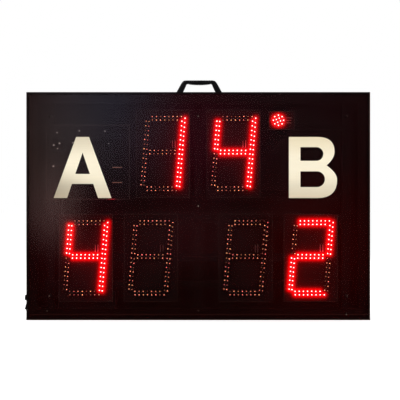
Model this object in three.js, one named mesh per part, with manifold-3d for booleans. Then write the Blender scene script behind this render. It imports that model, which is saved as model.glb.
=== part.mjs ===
// A portable electronic scoreboard: a flat black case with a smoked front panel, six seven-segment
// digits made of round diodes, two team letters and a carrying handle.
// Millimetres, +Z up. The front faces -Y, and the origin is the middle of the bottom face.

import * as THREE from "three";
import { mergeGeometries, mergeVertices } from "three/addons/utils/BufferGeometryUtils.js";
import Module from "manifold-3d";

const wasm = await Module();
wasm.setup();

// Digit boards, and the gaps round them that make up the case
const digitBoardWidth = 141;
const digitBoardHeight = 230;
const digitGap = 30; // between the two boards of a team's score
const scoreGap = 108.2; // between the two teams' boards, in the middle of the case
const periodGap = 44.4; // between the two upper boards
const rowGap = 43.8; // between the upper and lower boards
const sideMargin = 83.9; // lower boards to the sides of the case
const topMargin = 45.5;
const bottomMargin = 47.7;

// The case
const caseWidth = scoreGap + 2 * (2 * digitBoardWidth + digitGap + sideMargin);
const caseHeight = bottomMargin + 2 * digitBoardHeight + rowGap + topMargin;
const caseDepth = 80;

// Fits and cuts
const clearance = 0.3; // between a piece and the hole or pocket that takes it
const overrun = 1; // how far a cutter runs past the face that it cuts
const mitreGap = 0.3; // between two frame profiles at a corner

// Frame profile: an aluminium extrusion with a front lip, a rib behind the panel and a rear flange
const profileWall = 2;
const lipWidth = 4.7;
const grooveInset = 14.2; // the fine line in the rib, from the outer face
const grooveWidth = 0.8;
const grooveDepth = 0.6;
const ribWidth = 30;
const flangeWidth = 17;

// Corner keys inside the mitres
const keyLeg = 40;
const keyThickness = 3;
const keyWidth = 24;

// Front panel and rear cover
const panelThickness = 3;
const panelPlay = 0.25; // in the slot, on each face
const panelEdgeGap = 0.5; // between the panel's edge and the profile's wall
const coverThickness = 2;
const coverEdgeGap = 0.5;

// Letters on the panel, measured from the foot of each letter
const letterHeight = 160;
const letterThickness = 0.5;
const letterRise = 21.2; // foot above the middle of the case
const letterMarginA = 71.45; // to the left side of the case
const letterMarginB = 84.6; // to the right side of the case
const letterWidthA = 151.3;
const letterTopA = 33.6;
const letterFootA = 35;
const letterApexA = 118.8; // height where the inner edges meet
const letterBarLowA = 37;
const letterBarHighA = 63;
const letterWidthB = 128.1;
const letterStemB = 30.3;

// Screws
const panelScrewHead = 2.5;
const panelScrewRise = 1.6;
const panelScrewShank = 1.5;
const panelScrewLength = 12;
const rearScrewHead = 3.2;
const rearScrewTaper = 1.6;
const rearScrewLength = 10;
const handleScrewHead = 4.5;
const handleScrewRise = 3;
const handleScrewShank = 2.5;
const handleScrewLength = 12;

// Struts stand behind the panel screws and carry the rails
const strutGap = 13.9; // from the lower boards' edge to a side strut
const strutWidth = 20;
const strutDepth = 10;
const postRadius = 3.5;
const postBoreDepth = 14;
const screwInset = 63; // upper and lower panel screws, from the top and bottom of the case
const railHeight = 16;
const railDepth = 8;
const railOverhang = 15; // past the outer struts' middle
const channelWall = 1.5;

// Board supports: a post with a peg that passes through the board
const supportHeight = 6;
const supportRadius = 3;
const pegRadius = 1.5;
const pegTip = 1;
const supportInset = 5.5; // from a board's side edge
const outerPegInset = 46; // from a digit board's edge to the rail nearer the case's top or bottom
const innerPegInset = 10; // to the rail nearer the case's middle

// Diodes
const ledRadius = 2.5;
const ledHeight = 8.5;
const ledTipGap = 2.5; // to the back of the panel

// Digits: a slanted seven-segment figure, two lines of diodes to each segment
const boardThickness = 1.6;
const digitSideInset = 19.8; // from a board's side to the outer line of diodes
const digitEndInset = 18; // from a board's top or bottom
const digitSlantShare = 0.081; // sideways shift for each unit of height

// Resistors on the digit boards and on the indicator's board
const resistorThickness = 2.4;
const digitResistorPitch = 7;
const digitResistorLength = 20;
const digitResistorX = 28.4;
const digitResistorZ = 25;
const indicatorResistorLength = 13;
const indicatorResistorX = 19.6;
const indicatorResistorPitch = 6.5;

// Plugs on the backs of the boards, and the flat cable that joins them
const plugWidth = 20;
const plugHeight = 30;
const plugDepth = 3.5;
const ribbonWidth = 26;
const ribbonThickness = 0.9;

// Round indicator
const indicatorGap = 22.4; // from the upper right digit board to the indicator's board
const indicatorPegInset = 5.7; // from the lower edge of the indicator's board to its rail
const indicatorOuterRadius = 13.4;
const indicatorInnerRadius = 5.75;
const indicatorBoardWidth = 68;
const indicatorBoardHeight = 48;
const indicatorBoardShift = 9.2; // the board's middle, to the right of the ring of diodes

// Controller board
const controllerOverhang = 9.6; // past the left strut's middle
const controllerGap = 17.4; // to the upper left digit board
const controllerTopInset = 6.7; // from the board's edge to its rail
const controllerBottomInset = 15.3;
const chipLength = 34;
const chipWidth = 9;
const chipHeight = 4;
const processorLength = 52;
const processorWidth = 14;
const terminalLength = 30;
const terminalWidth = 10;
const terminalHeight = 9;
const capacitorRadius = 4;
const capacitorLength = 26;
const controllerPlugX = 45; // the upper flat cable's plug, from the board's middle
const controllerPlugZ = -65; // the lower flat cable's plug, from the board's middle
const supplyPlugZ = -54; // the battery lead's plug, from the board's middle
const supplyPlugSize = 10;
const supplyPlugDepth = 8;

// Battery pack and its strap, on the floor of the case
const batteryLength = 150;
const batteryDepth = 38;
const batteryHeight = 70;
const batteryGap = 10; // to the left strut's side
const batteryBackGap = 3; // to the rear flange
const supplyLeadInset = 9.9; // from the battery's left end
const strapWidth = 16;
const strapThickness = 1.5;
const strapFoot = 14;
const strapShift = 6; // behind the battery's middle

// Buzzer on the rear cover
const buzzerRadius = 22;
const buzzerHeight = 20;
const buzzerFlangeRadius = 27;
const buzzerFlangeHeight = 2.5;
const buzzerMouthRadius = 13;
const buzzerMouthDepth = 5;
const soundHoleRadius = 2;
const soundHoleRing = 7.5;
const soundHoleCount = 6; // round the middle one

// Bridge handle
const handleX = 2.5;
const handleSpan = 123; // across the feet
const handleShoulderSpan = 99; // across the legs where they start to bend
const handleShoulderHeight = 22;
const handleTopFlat = 75;
const handleHeight = 33.8;
const handleDepth = 22;
const handleLeg = 17.7; // width of a foot
const handleWindowTop = 65;
const handleGrip = 9.7;
const handleBelly = 2.5;
const handleBellySpan = 43;
const handleScrewInset = 12; // from the end of a foot

// Rocker switch in the left side, in a frame where -X points out of the case
const switchY = -24;
const switchZ = 33.2;
const bezelLength = 19;
const bezelWidth = 13.5;
const bezelRise = 2;
const pocketLength = 14.6;
const pocketWidth = 8.6;
const pocketDepth = 10;
const housingWall = 1.2;
const housingDepth = 16;
const rockerRise = 5; // pivot to the rocker's ends
const rockerDip = 1;
const rockerFoot = 4;
const rockerTilt = THREE.MathUtils.degToRad(13); // each way from level
const rockerPinRadius = 1.2;
const rockerPinReach = 0.6; // into each side wall of the housing
const tabHeight = 4.8;
const tabThickness = 0.8;
const tabLength = 7;
const tabSpacing = 7;

// Charge socket above the switch, and its cap
const socketSpacing = 24.8; // above the switch
const socketFlangeRadius = 7.2;
const socketFlangeRise = 1.5;
const socketBarrelRadius = 5.5;
const socketBarrelLength = 16;
const socketBoreRadius = 3;
const socketBoreDepth = 10;
const nutRadius = 8.5;
const nutThickness = 3;
const capRise = 3.7;
const capEdge = 1.6;
const capStubRadius = 2.6;
const capStubLength = 6.8;

// Leads
const leadRadius = 1.5;
const shortLeadSteps = 14;
const longLeadSteps = 32;

// Roundness
const screwSides = 6;
const boreSides = 6;
const ledSides = 4;
const pegSides = 4;
const hexSides = 6;
const turnedSides = 12;
const leadSides = 8;
const curveSteps = 5;

// Planes from front to back
const frontY = -caseDepth / 2;
const backY = caseDepth / 2;
const lipBackY = frontY + profileWall;
const panelFrontY = lipBackY + panelPlay;
const panelBackY = panelFrontY + panelThickness;
const ribFrontY = panelBackY + panelPlay;
const ribBackY = ribFrontY + profileWall;
const boardFrontY = panelBackY + ledTipGap + ledHeight;
const boardBackY = boardFrontY + boardThickness;
const sunkTo = boardFrontY + boardThickness / 2; // where what is soldered to a board ends inside it
const railFrontY = boardBackY + supportHeight;
const strutFrontY = railFrontY + railDepth;
const coverFrontY = backY - coverThickness;
const ribbonFrontY = boardBackY + plugDepth + clearance;

// Heights
const middleZ = caseHeight / 2;
const topRowZ = caseHeight - topMargin - digitBoardHeight / 2;
const bottomRowZ = bottomMargin + digitBoardHeight / 2;
const floorZ = profileWall;
const ceilingZ = caseHeight - profileWall;
const socketZ = switchZ + socketSpacing;
const railHeights = {
  top: caseHeight - topMargin - outerPegInset,
  upper: topRowZ - digitBoardHeight / 2 + innerPegInset,
  lower: bottomRowZ + digitBoardHeight / 2 - innerPegInset,
  bottom: bottomMargin + outerPegInset,
};

// Places across the case
const upperDigitX = (periodGap + digitBoardWidth) / 2;
const innerDigitX = (scoreGap + digitBoardWidth) / 2;
const outerDigitX = innerDigitX + digitGap + digitBoardWidth;
const strutX = outerDigitX + digitBoardWidth / 2 + strutGap + strutWidth / 2;
const controllerLeft = -strutX - controllerOverhang;
const controllerRight = -upperDigitX - digitBoardWidth / 2 - controllerGap;
const controllerX = (controllerLeft + controllerRight) / 2;
const batteryLeft = -strutX + strutWidth / 2 + batteryGap;
const batteryX = batteryLeft + batteryLength / 2;

// A digit's outer lines of diodes, from its middle
const digitHalfWidth = digitBoardWidth / 2 - digitSideInset;
const digitHalfHeight = digitBoardHeight / 2 - digitEndInset;

// Tables of places, as shares of the sizes that they follow
const screwPlaces = [
  { name: "top_left", side: -1, level: 1 },
  { name: "top_centre", side: 0, level: 1 },
  { name: "top_right", side: 1, level: 1 },
  { name: "centre", side: 0, level: 0 },
  { name: "bottom_left", side: -1, level: -1 },
  { name: "bottom_right", side: 1, level: -1 },
];
const lowerScrewShares = [
  { name: "left", xShare: -0.88, zShare: 0.745 }, // across half the case, and across the rib past the lip
  { name: "centre", xShare: 0, zShare: 0.763 },
  { name: "right", xShare: 0.862, zShare: 0.391 },
];
const rearScrewShares = [
  { name: "left", share: -0.86 },
  { name: "centre", share: 0 },
  { name: "right", share: 0.86 },
];
// Each line of diodes in a digit: from x, z to x, z as shares of the digit's halves, and how many
const digitLineShares = [
  [-0.704, 1, 0.801, 1, 8],
  [-0.692, 0.905, 0.598, 0.905, 7],
  [1, 0.954, 1, 0.103, 8],
  [0.848, 0.875, 0.848, 0.116, 7],
  [1, -0.027, 1, -0.892, 8],
  [0.848, -0.013, 0.848, -0.875, 8],
  [-0.679, -0.905, 0.611, -0.905, 7],
  [-0.657, -1, 0.848, -1, 8],
  [-1, -0.005, -1, -0.843, 8],
  [-0.848, -0.027, -0.848, -0.857, 8],
  [-1, 0.875, -1, 0.13, 7],
  [-0.848, 0.865, -0.848, 0.116, 7],
  [-0.679, 0.0835, 0.613, 0.0835, 7],
  [-0.679, -0.008, 0.613, -0.008, 7],
];
const indicatorRings = [
  { radius: indicatorOuterRadius, count: 8, start: 0 },
  { radius: indicatorInnerRadius, count: 4, start: THREE.MathUtils.degToRad(70) },
];
// Outline of the letter B as shares of its width and height: straight end, bowls and waist
const bowlShares = {
  straightShare: 0.578,
  lowerBowlShare: 0.29,
  waistXShare: 0.783,
  waistZShare: 0.534,
  upperRightShare: 0.948,
  upperBowlShare: 0.76,
};
const counterShares = [
  { lowShare: 0.179, highShare: 0.436, rightShare: 0.738 },
  { lowShare: 0.609, highShare: 0.8325, rightShare: 0.705 },
];
// Components on the controller board, their middles as shares of the board's halves
const controllerShares = [
  { kind: "processor", x: -0.1, z: 0.05 },
  { kind: "chip", x: -0.68, z: 0.62 },
  { kind: "chip", x: -0.68, z: 0.3 },
  { kind: "chip", x: -0.68, z: -0.02 },
  { kind: "chip", x: 0.1, z: 0.62 },
  { kind: "terminal", x: 0.65, z: 0.7 },
  { kind: "terminal", x: -0.6, z: -0.72 },
  { kind: "capacitor", x: 0.706, z: -0.145 },
  { kind: "capacitor", x: 0.706, z: -0.549 },
];

// Materials
const metal = (color, roughness) => new THREE.MeshStandardMaterial({ color, roughness, metalness: 1 });
const plastic = (color, roughness) => new THREE.MeshStandardMaterial({ color, roughness, metalness: 0 });
const blackAluminium = metal("#1a1718", 0.45);
const blackChannel = metal("#1c1b1b", 0.55);
const blackSteel = plastic("#161414", 0.6);
const screwBlack = metal("#2a2725", 0.35);
const letterFilm = metal("#f1e3c4", 0.5);
const blackPlastic = plastic("#121213", 0.5);
const rubber = plastic("#0d0d0d", 0.8);
const boardBlack = plastic("#141112", 0.6);
const batteryBlack = plastic("#17171a", 0.45);
const ribbonBlack = plastic("#1b1b1d", 0.7);
const leadBlack = plastic("#151515", 0.6);
const smokedAcrylic = new THREE.MeshStandardMaterial({
  color: "#2b1214",
  roughness: 0.08,
  metalness: 0,
  transparent: true,
  opacity: 0.55,
});

// A closed geometry as a solid that can be cut and joined.
function solidOf(geometry) {
  geometry.deleteAttribute("normal");
  geometry.deleteAttribute("uv");
  const merged = mergeVertices(geometry);
  const vertProperties = new Float32Array(merged.attributes.position.array);
  const triVerts = new Uint32Array(merged.index.array);
  return new wasm.Manifold(new wasm.Mesh({ numProp: 3, vertProperties, triVerts }));
}

function geometryOf(solid) {
  const mesh = solid.getMesh();
  const geometry = new THREE.BufferGeometry();
  geometry.setAttribute("position", new THREE.BufferAttribute(mesh.vertProperties, 3));
  geometry.setIndex(new THREE.BufferAttribute(mesh.triVerts, 1));
  const flat = geometry.toNonIndexed();
  flat.computeVertexNormals();
  return flat;
}

const join = (first, ...others) => others.reduce((whole, other) => whole.add(other), first);
const cut = (first, ...others) => others.reduce((whole, other) => whole.subtract(other), first);

// A box from its two opposite corners.
function box(x0, y0, z0, x1, y1, z1) {
  const geometry = new THREE.BoxGeometry(x1 - x0, y1 - y0, z1 - z0);
  geometry.translate((x0 + x1) / 2, (y0 + y1) / 2, (z0 + z1) / 2);
  return solidOf(geometry);
}

// A box by its size, its middle at x, z, from y0 to y1.
function block(width, height, x, z, y0, y1) {
  return box(x - width / 2, y0, z - height / 2, x + width / 2, y1, z + height / 2);
}

function shapeOf(points) {
  return new THREE.Shape(points.map(([x, y]) => new THREE.Vector2(x, y)));
}

// A flat shape carried along Z from 0 to its depth.
function extrude(shape, depth) {
  return new THREE.ExtrudeGeometry(shape, { depth, bevelEnabled: false, curveSegments: curveSteps });
}

// Evenly spaced points on a circle, from an angle that is 0 on the first axis.
function circlePoints(radius, count, start = 0) {
  return [...Array(count).keys()].map((k) => {
    const angle = start + (2 * Math.PI * k) / count;
    return [radius * Math.cos(angle), radius * Math.sin(angle)];
  });
}

// A many-sided rod along Z from 0 to its length, a corner of its section on the X axis.
function prism(radius, sides, length) {
  return extrude(shapeOf(circlePoints(radius, sides)), length);
}

// The same along Y from y0 to y1.
function rodGeometry(radius, sides, x, z, y0, y1) {
  const geometry = prism(radius, sides, y1 - y0);
  geometry.rotateX(Math.PI / 2);
  geometry.translate(x, y1, z);
  return geometry;
}

const rod = (...sizes) => solidOf(rodGeometry(...sizes));

// A shape drawn in x, z and extruded along Y from y0 to y1.
function plate(shape, y0, y1) {
  const geometry = extrude(shape, y1 - y0);
  geometry.rotateX(Math.PI / 2);
  geometry.translate(0, y1, 0);
  return solidOf(geometry);
}

// A body turned about the Y axis from a list of radius, height.
function turned(points, sides) {
  const profile = points.map(([radius, height]) => new THREE.Vector2(radius, height));
  return solidOf(new THREE.LatheGeometry(profile, sides));
}

const board = new THREE.Group();

// Adds one named piece and returns its mesh, so that it can be placed.
function piece(name, solid, material, parent = board) {
  const mesh = new THREE.Mesh(geometryOf(solid), material);
  mesh.name = name;
  parent.add(mesh);
  return mesh;
}

// Frame profiles. Each is drawn along X with its outer face down, and its ends are mitred: a point
// that lies further in from the outer face ends that much sooner.
const profileSection = [
  [0, frontY],
  [lipWidth, frontY],
  [lipWidth, lipBackY],
  [profileWall, lipBackY],
  [profileWall, ribFrontY],
  [grooveInset, ribFrontY],
  [grooveInset, ribFrontY + grooveDepth],
  [grooveInset + grooveWidth, ribFrontY + grooveDepth],
  [grooveInset + grooveWidth, ribFrontY],
  [ribWidth, ribFrontY],
  [ribWidth, ribBackY],
  [profileWall, ribBackY],
  [profileWall, coverFrontY - profileWall],
  [flangeWidth, coverFrontY - profileWall],
  [flangeWidth, coverFrontY],
  [profileWall, coverFrontY],
  [profileWall, backY],
  [0, backY],
];

function profile(length) {
  const geometry = extrude(shapeOf(profileSection), length);
  geometry.rotateY(-Math.PI / 2);
  const position = geometry.attributes.position;
  for (let i = 0; i < position.count; i++) {
    const along = position.getX(i) / length + 1 / 2;
    position.setX(i, along * (length - 2 * position.getZ(i) - mitreGap));
  }
  return solidOf(geometry);
}

// A cutter along Z for a hole in a profile's outer wall.
function wallHole(x, y, radius) {
  const geometry = prism(radius, boreSides, profileWall + 2 * overrun);
  geometry.translate(x, y, -overrun);
  return solidOf(geometry);
}

// The corner radius of a many-sided hole whose flats clear a round piece.
const holeRadius = (radius, sides = boreSides) => (radius + clearance) / Math.cos(Math.PI / sides);

const shankHole = holeRadius(panelScrewShank);
const rearInset = (profileWall + flangeWidth) / 2;
const handleScrewX = handleSpan / 2 - handleScrewInset;

function flangeHoles() {
  return rearScrewShares.map(({ share }) =>
    rod(shankHole, boreSides, (share * caseWidth) / 2, rearInset, ribBackY, coverFrontY + overrun),
  );
}

const lowerScrews = lowerScrewShares.map(({ name, xShare, zShare }) => ({
  name,
  x: (xShare * caseWidth) / 2,
  z: lipWidth + zShare * (ribWidth - lipWidth),
}));

function addFrame() {
  const ribHoles = lowerScrews.map(({ x, z }) =>
    rod(shankHole, boreSides, x, z, ribFrontY - overrun, ribBackY + overrun),
  );
  piece("frame_bottom", cut(profile(caseWidth), ...flangeHoles(), ...ribHoles), blackAluminium);

  // The top profile is turned half round, so its x runs the other way.
  const handleHoles = [-1, 1].map((side) =>
    wallHole(-(handleX + side * handleScrewX), 0, holeRadius(handleScrewShank)),
  );
  const top = piece("frame_top", cut(profile(caseWidth), ...flangeHoles(), ...handleHoles), blackAluminium);
  top.rotation.y = Math.PI;
  top.position.z = caseHeight;

  const right = piece("frame_right", profile(caseHeight), blackAluminium);
  right.rotation.y = -Math.PI / 2;
  right.position.set(caseWidth / 2, 0, middleZ);

  // The left profile is turned so that its x runs down the case.
  const switchHole = box(
    middleZ - switchZ - cutoutLength / 2,
    switchY - cutoutWidth / 2,
    -overrun,
    middleZ - switchZ + cutoutLength / 2,
    switchY + cutoutWidth / 2,
    profileWall + overrun,
  );
  const socketHole = wallHole(middleZ - socketZ, switchY, holeRadius(socketBarrelRadius));
  const left = piece("frame_left", cut(profile(caseHeight), switchHole, socketHole), blackAluminium);
  left.rotation.y = Math.PI / 2;
  left.position.set(-caseWidth / 2, 0, middleZ);
}

function addCornerKeys() {
  const leg = shapeOf([
    [0, 0],
    [keyLeg, 0],
    [keyLeg, keyThickness],
    [keyThickness, keyThickness],
    [keyThickness, keyLeg],
    [0, keyLeg],
  ]);
  const corners = [
    { name: "bottom_left", x: -1, z: -1, turn: 0 },
    { name: "bottom_right", x: 1, z: -1, turn: 1 },
    { name: "top_right", x: 1, z: 1, turn: 2 },
    { name: "top_left", x: -1, z: 1, turn: 3 },
  ];
  for (const { name, x, z, turn } of corners) {
    const key = piece("corner_key_" + name, plate(leg, -keyWidth / 2, keyWidth / 2), blackChannel);
    key.rotation.y = (-turn * Math.PI) / 2;
    key.position.set(x * (caseWidth / 2 - profileWall), 0, middleZ + z * (caseHeight / 2 - profileWall));
  }
}

function addPanel() {
  const halfWidth = caseWidth / 2 - profileWall - panelEdgeGap;
  const halfHeight = caseHeight / 2 - profileWall - panelEdgeGap;
  const sheet = box(
    -halfWidth,
    panelFrontY,
    middleZ - halfHeight,
    halfWidth,
    panelBackY,
    middleZ + halfHeight,
  );
  const holes = [...postPlaces(), ...lowerScrews].map(({ x, z }) =>
    rod(shankHole, boreSides, x, z, panelFrontY - overrun, panelBackY + overrun),
  );
  piece("front_panel", cut(sheet, ...holes), smokedAcrylic);
}

function postPlaces() {
  return screwPlaces.map(({ name, side, level }) => ({
    name,
    x: side * strutX,
    z: middleZ + level * (middleZ - screwInset),
  }));
}

function addRearCover() {
  const halfWidth = caseWidth / 2 - profileWall - coverEdgeGap;
  const low = profileWall + coverEdgeGap;
  const sheet = box(-halfWidth, coverFrontY, low, halfWidth, backY, caseHeight - low);
  const countersink = turned(
    [
      [0, -rearScrewLength],
      [shankHole, -rearScrewLength],
      [shankHole, -rearScrewTaper],
      [rearScrewHead + clearance, 0],
      [rearScrewHead + clearance, overrun],
      [0, overrun],
    ],
    screwSides,
  );
  const screwHoles = rearScrews().map(({ x, z }) => countersink.translate([x, backY, z]));
  const soundHoles = [[0, 0], ...circlePoints(soundHoleRing, soundHoleCount)].map(([x, z]) =>
    rod(soundHoleRadius, boreSides, outerDigitX + x, bottomRowZ + z, coverFrontY - overrun, backY + overrun),
  );
  piece("rear_cover", cut(sheet, ...screwHoles, ...soundHoles), blackSteel);
}

function rearScrews() {
  return ["top", "bottom"].flatMap((level) =>
    rearScrewShares.map(({ name, share }) => ({
      name: level + "_" + name,
      x: (share * caseWidth) / 2,
      z: level === "top" ? caseHeight - rearInset : rearInset,
    })),
  );
}

function addRearScrews() {
  const screw = turned(
    [
      [0, -rearScrewLength],
      [panelScrewShank, -rearScrewLength],
      [panelScrewShank, -rearScrewTaper],
      [rearScrewHead, 0],
      [0, 0],
    ],
    screwSides,
  );
  for (const { name, x, z } of rearScrews()) {
    piece("rear_screw_" + name, screw, screwBlack).position.set(x, backY, z);
  }
}

// A screw with a low round head, turned about Y: the head's underside is at 0 and its shank runs to +Y.
function panHead(headRadius, headRise, shankRadius, length) {
  return turned(
    [
      [0, -headRise],
      [headRadius / 2, -headRise],
      [headRadius, -headRise / 3],
      [headRadius, 0],
      [shankRadius, 0],
      [shankRadius, length],
      [0, length],
    ],
    screwSides,
  );
}

function addFrontScrews() {
  const screw = panHead(panelScrewHead, panelScrewRise, panelScrewShank, panelScrewLength);
  for (const { name, x, z } of postPlaces()) {
    piece("panel_screw_" + name, screw, screwBlack).position.set(x, panelFrontY, z);
  }
  for (const { name, x, z } of lowerScrews) {
    piece("lower_screw_" + name, screw, screwBlack).position.set(x, panelFrontY, z);
  }
}

function addLetters() {
  const outer = letterWidthA / 2;
  const inner = (height) => (outer - letterFootA) * (1 - height / letterApexA);
  const shapeA = shapeOf([
    [-outer, 0],
    [-inner(0), 0],
    [-inner(letterBarLowA), letterBarLowA],
    [inner(letterBarLowA), letterBarLowA],
    [inner(0), 0],
    [outer, 0],
    [letterTopA / 2, letterHeight],
    [-letterTopA / 2, letterHeight],
  ]);
  const counter = [
    [-inner(letterBarHighA), letterBarHighA],
    [0, letterApexA],
    [inner(letterBarHighA), letterBarHighA],
  ];
  shapeA.holes.push(new THREE.Path(counter.map(([x, y]) => new THREE.Vector2(x, y))));
  const solidA = plate(shapeA, -letterThickness, 0);
  const footZ = middleZ + letterRise;
  const middleA = letterMarginA + outer - caseWidth / 2;
  piece("letter_a", solidA, letterFilm).position.set(middleA, panelFrontY, footZ);

  const solidB = plate(shapeB(), -letterThickness, 0);
  const leftB = caseWidth / 2 - letterMarginB - letterWidthB;
  piece("letter_b", solidB, letterFilm).position.set(leftB, panelFrontY, footZ);
}

function shapeB() {
  const width = letterWidthB;
  const height = letterHeight;
  const straightX = bowlShares.straightShare * width;
  const waistX = bowlShares.waistXShare * width;
  const waistZ = bowlShares.waistZShare * height;
  const upperX = bowlShares.upperRightShare * width;
  const lowerZ = bowlShares.lowerBowlShare * height;
  const upperZ = bowlShares.upperBowlShare * height;
  const shape = new THREE.Shape();
  shape.moveTo(0, 0);
  shape.lineTo(straightX, 0);
  shape.quadraticCurveTo(width, 0, width, lowerZ);
  shape.quadraticCurveTo(width, (waistZ + lowerZ) / 2, waistX, waistZ);
  shape.quadraticCurveTo(upperX, (waistZ + upperZ) / 2, upperX, upperZ);
  shape.quadraticCurveTo(upperX, height, straightX, height);
  shape.lineTo(0, height);
  for (const { lowShare, highShare, rightShare } of counterShares) {
    const low = lowShare * height;
    const high = highShare * height;
    const turn = (high - low) / 2;
    const turnX = rightShare * width - turn;
    const hole = new THREE.Path();
    hole.moveTo(letterStemB, low);
    hole.lineTo(turnX, low);
    hole.absarc(turnX, low + turn, turn, -Math.PI / 2, Math.PI / 2, false);
    hole.lineTo(letterStemB, high);
    shape.holes.push(hole);
  }
  return shape;
}

// A channel section open towards the back, as wide as given, and as deep.
function channelShape(width, depth) {
  return shapeOf([
    [-width / 2, 0],
    [width / 2, 0],
    [width / 2, depth],
    [width / 2 - channelWall, depth],
    [width / 2 - channelWall, channelWall],
    [channelWall - width / 2, channelWall],
    [channelWall - width / 2, depth],
    [-width / 2, depth],
  ]);
}

// A channel along Z from z0 to z1, its web at y and its legs behind it.
function uprightChannel(width, depth, x, y, z0, z1) {
  const geometry = extrude(channelShape(width, depth), z1 - z0);
  geometry.translate(x, y, z0);
  return solidOf(geometry);
}

function addStruts() {
  for (const { name, side } of [
    { name: "left", side: -1 },
    { name: "centre", side: 0 },
    { name: "right", side: 1 },
  ]) {
    const x = side * strutX;
    let strut = uprightChannel(strutWidth, strutDepth, x, strutFrontY, floorZ, ceilingZ);
    for (const place of postPlaces().filter((each) => each.x === x)) {
      const post = rod(postRadius, hexSides, x, place.z, panelBackY, strutFrontY + channelWall / 2);
      const bore = rod(shankHole, boreSides, x, place.z, panelBackY - overrun, panelBackY + postBoreDepth);
      strut = cut(join(strut, post), bore);
    }
    piece("strut_" + name, strut, blackChannel);
  }
}

// Boards: each has a middle, a size and the rails that it is pegged to.
const digitBoards = [
  { name: "top_left", x: -upperDigitX, z: topRowZ, rails: ["top", "upper"] },
  { name: "top_right", x: upperDigitX, z: topRowZ, rails: ["top", "upper"] },
  { name: "bottom_first", x: -outerDigitX, z: bottomRowZ, rails: ["lower", "bottom"] },
  { name: "bottom_second", x: -innerDigitX, z: bottomRowZ, rails: ["lower", "bottom"] },
  { name: "bottom_third", x: innerDigitX, z: bottomRowZ, rails: ["lower", "bottom"] },
  { name: "bottom_fourth", x: outerDigitX, z: bottomRowZ, rails: ["lower", "bottom"] },
].map((place) => ({ ...place, width: digitBoardWidth, height: digitBoardHeight }));
const indicatorBoard = {
  x: upperDigitX + digitBoardWidth / 2 + indicatorGap + indicatorBoardWidth / 2,
  z: railHeights.top - indicatorPegInset + indicatorBoardHeight / 2,
  width: indicatorBoardWidth,
  height: indicatorBoardHeight,
  rails: ["top"],
};
const controllerTop = railHeights.top + controllerTopInset;
const controllerBottom = railHeights.upper - controllerBottomInset;
const controllerBoard = {
  x: controllerX,
  z: (controllerTop + controllerBottom) / 2,
  width: controllerRight - controllerLeft,
  height: controllerTop - controllerBottom,
  rails: ["top", "upper"],
};

// The places of a board's pegs on one rail.
const pegX = ({ x, width }) => [x - width / 2 + supportInset, x + width / 2 - supportInset];

function addRails() {
  const halfLength = strutX + railOverhang;
  for (const [name, z] of Object.entries(railHeights)) {
    const geometry = extrude(channelShape(railHeight, railDepth), 2 * halfLength);
    geometry.rotateY(Math.PI / 2);
    geometry.translate(-halfLength, railFrontY, z);
    const boards = [...digitBoards, indicatorBoard, controllerBoard];
    const carried = boards.filter(({ rails }) => rails.includes(name));
    const supports = carried.flatMap(pegX).flatMap((x) => [
      rod(supportRadius, pegSides, x, z, boardBackY, railFrontY + channelWall / 2),
      rod(pegRadius, pegSides, x, z, boardFrontY - pegTip, boardBackY + supportHeight / 2),
    ]);
    piece("rail_" + name, join(solidOf(geometry), ...supports), blackChannel);
  }
}

// A bare board with its peg holes, and the plug of its flat cable on its back.
function boardSolid({ x, z, width, height, rails }, plugX, plugZ) {
  const sheet = block(width, height, x, z, boardFrontY, boardBackY);
  const hole = (pegAt, railZ) =>
    rod(pegRadius + clearance, pegSides, pegAt, railZ, boardFrontY - overrun, boardBackY + overrun);
  const holes = rails.flatMap((rail) => pegX({ x, width }).map((pegAt) => hole(pegAt, railHeights[rail])));
  const plug = block(plugWidth, plugHeight, plugX, plugZ, sunkTo, boardBackY + plugDepth);
  return join(cut(sheet, ...holes), plug);
}

// The diodes at a list of x, z places as one solid, sunk half way into their board.
function diodes(places) {
  const rods = places.map(([x, z]) =>
    rodGeometry(ledRadius, ledSides, x, z, boardFrontY - ledHeight, sunkTo),
  );
  return solidOf(mergeGeometries(rods));
}

// Places along each line of a digit. The slant moves what lies higher to the right.
function digitLeds(x, z) {
  return digitLineShares.flatMap(([fromX, fromZ, toX, toZ, count]) =>
    [...Array(count).keys()].map((k) => {
      const share = k / (count - 1);
      const across = digitHalfWidth * (fromX + share * (toX - fromX));
      const up = digitHalfHeight * (fromZ + share * (toZ - fromZ));
      return [x + across + digitSlantShare * up, z + up];
    }),
  );
}

function addDigitBoards() {
  for (const place of digitBoards) {
    const resistors = [-1, 1].map((side) =>
      block(
        resistorThickness,
        digitResistorLength,
        place.x + digitResistorX + (side * digitResistorPitch) / 2,
        place.z + digitResistorZ,
        boardFrontY - resistorThickness,
        sunkTo,
      ),
    );
    const bare = boardSolid(place, place.x, place.z);
    const solid = join(bare, diodes(digitLeds(place.x, place.z)), ...resistors);
    piece("digit_board_" + place.name, solid, boardBlack);
  }
}

function addIndicatorBoard() {
  const { x, z } = indicatorBoard;
  const places = indicatorRings
    .flatMap(({ radius, count, start }) => circlePoints(radius, count, start))
    .map(([across, up]) => [x - indicatorBoardShift + across, z + up]);
  const resistors = [-1, 0, 1].map((k) =>
    block(
      indicatorResistorLength,
      resistorThickness,
      x + indicatorResistorX,
      z + k * indicatorResistorPitch,
      boardFrontY - resistorThickness,
      sunkTo,
    ),
  );
  piece("indicator_board", join(boardSolid(indicatorBoard, x, z), diodes(places), ...resistors), boardBlack);
}

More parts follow.
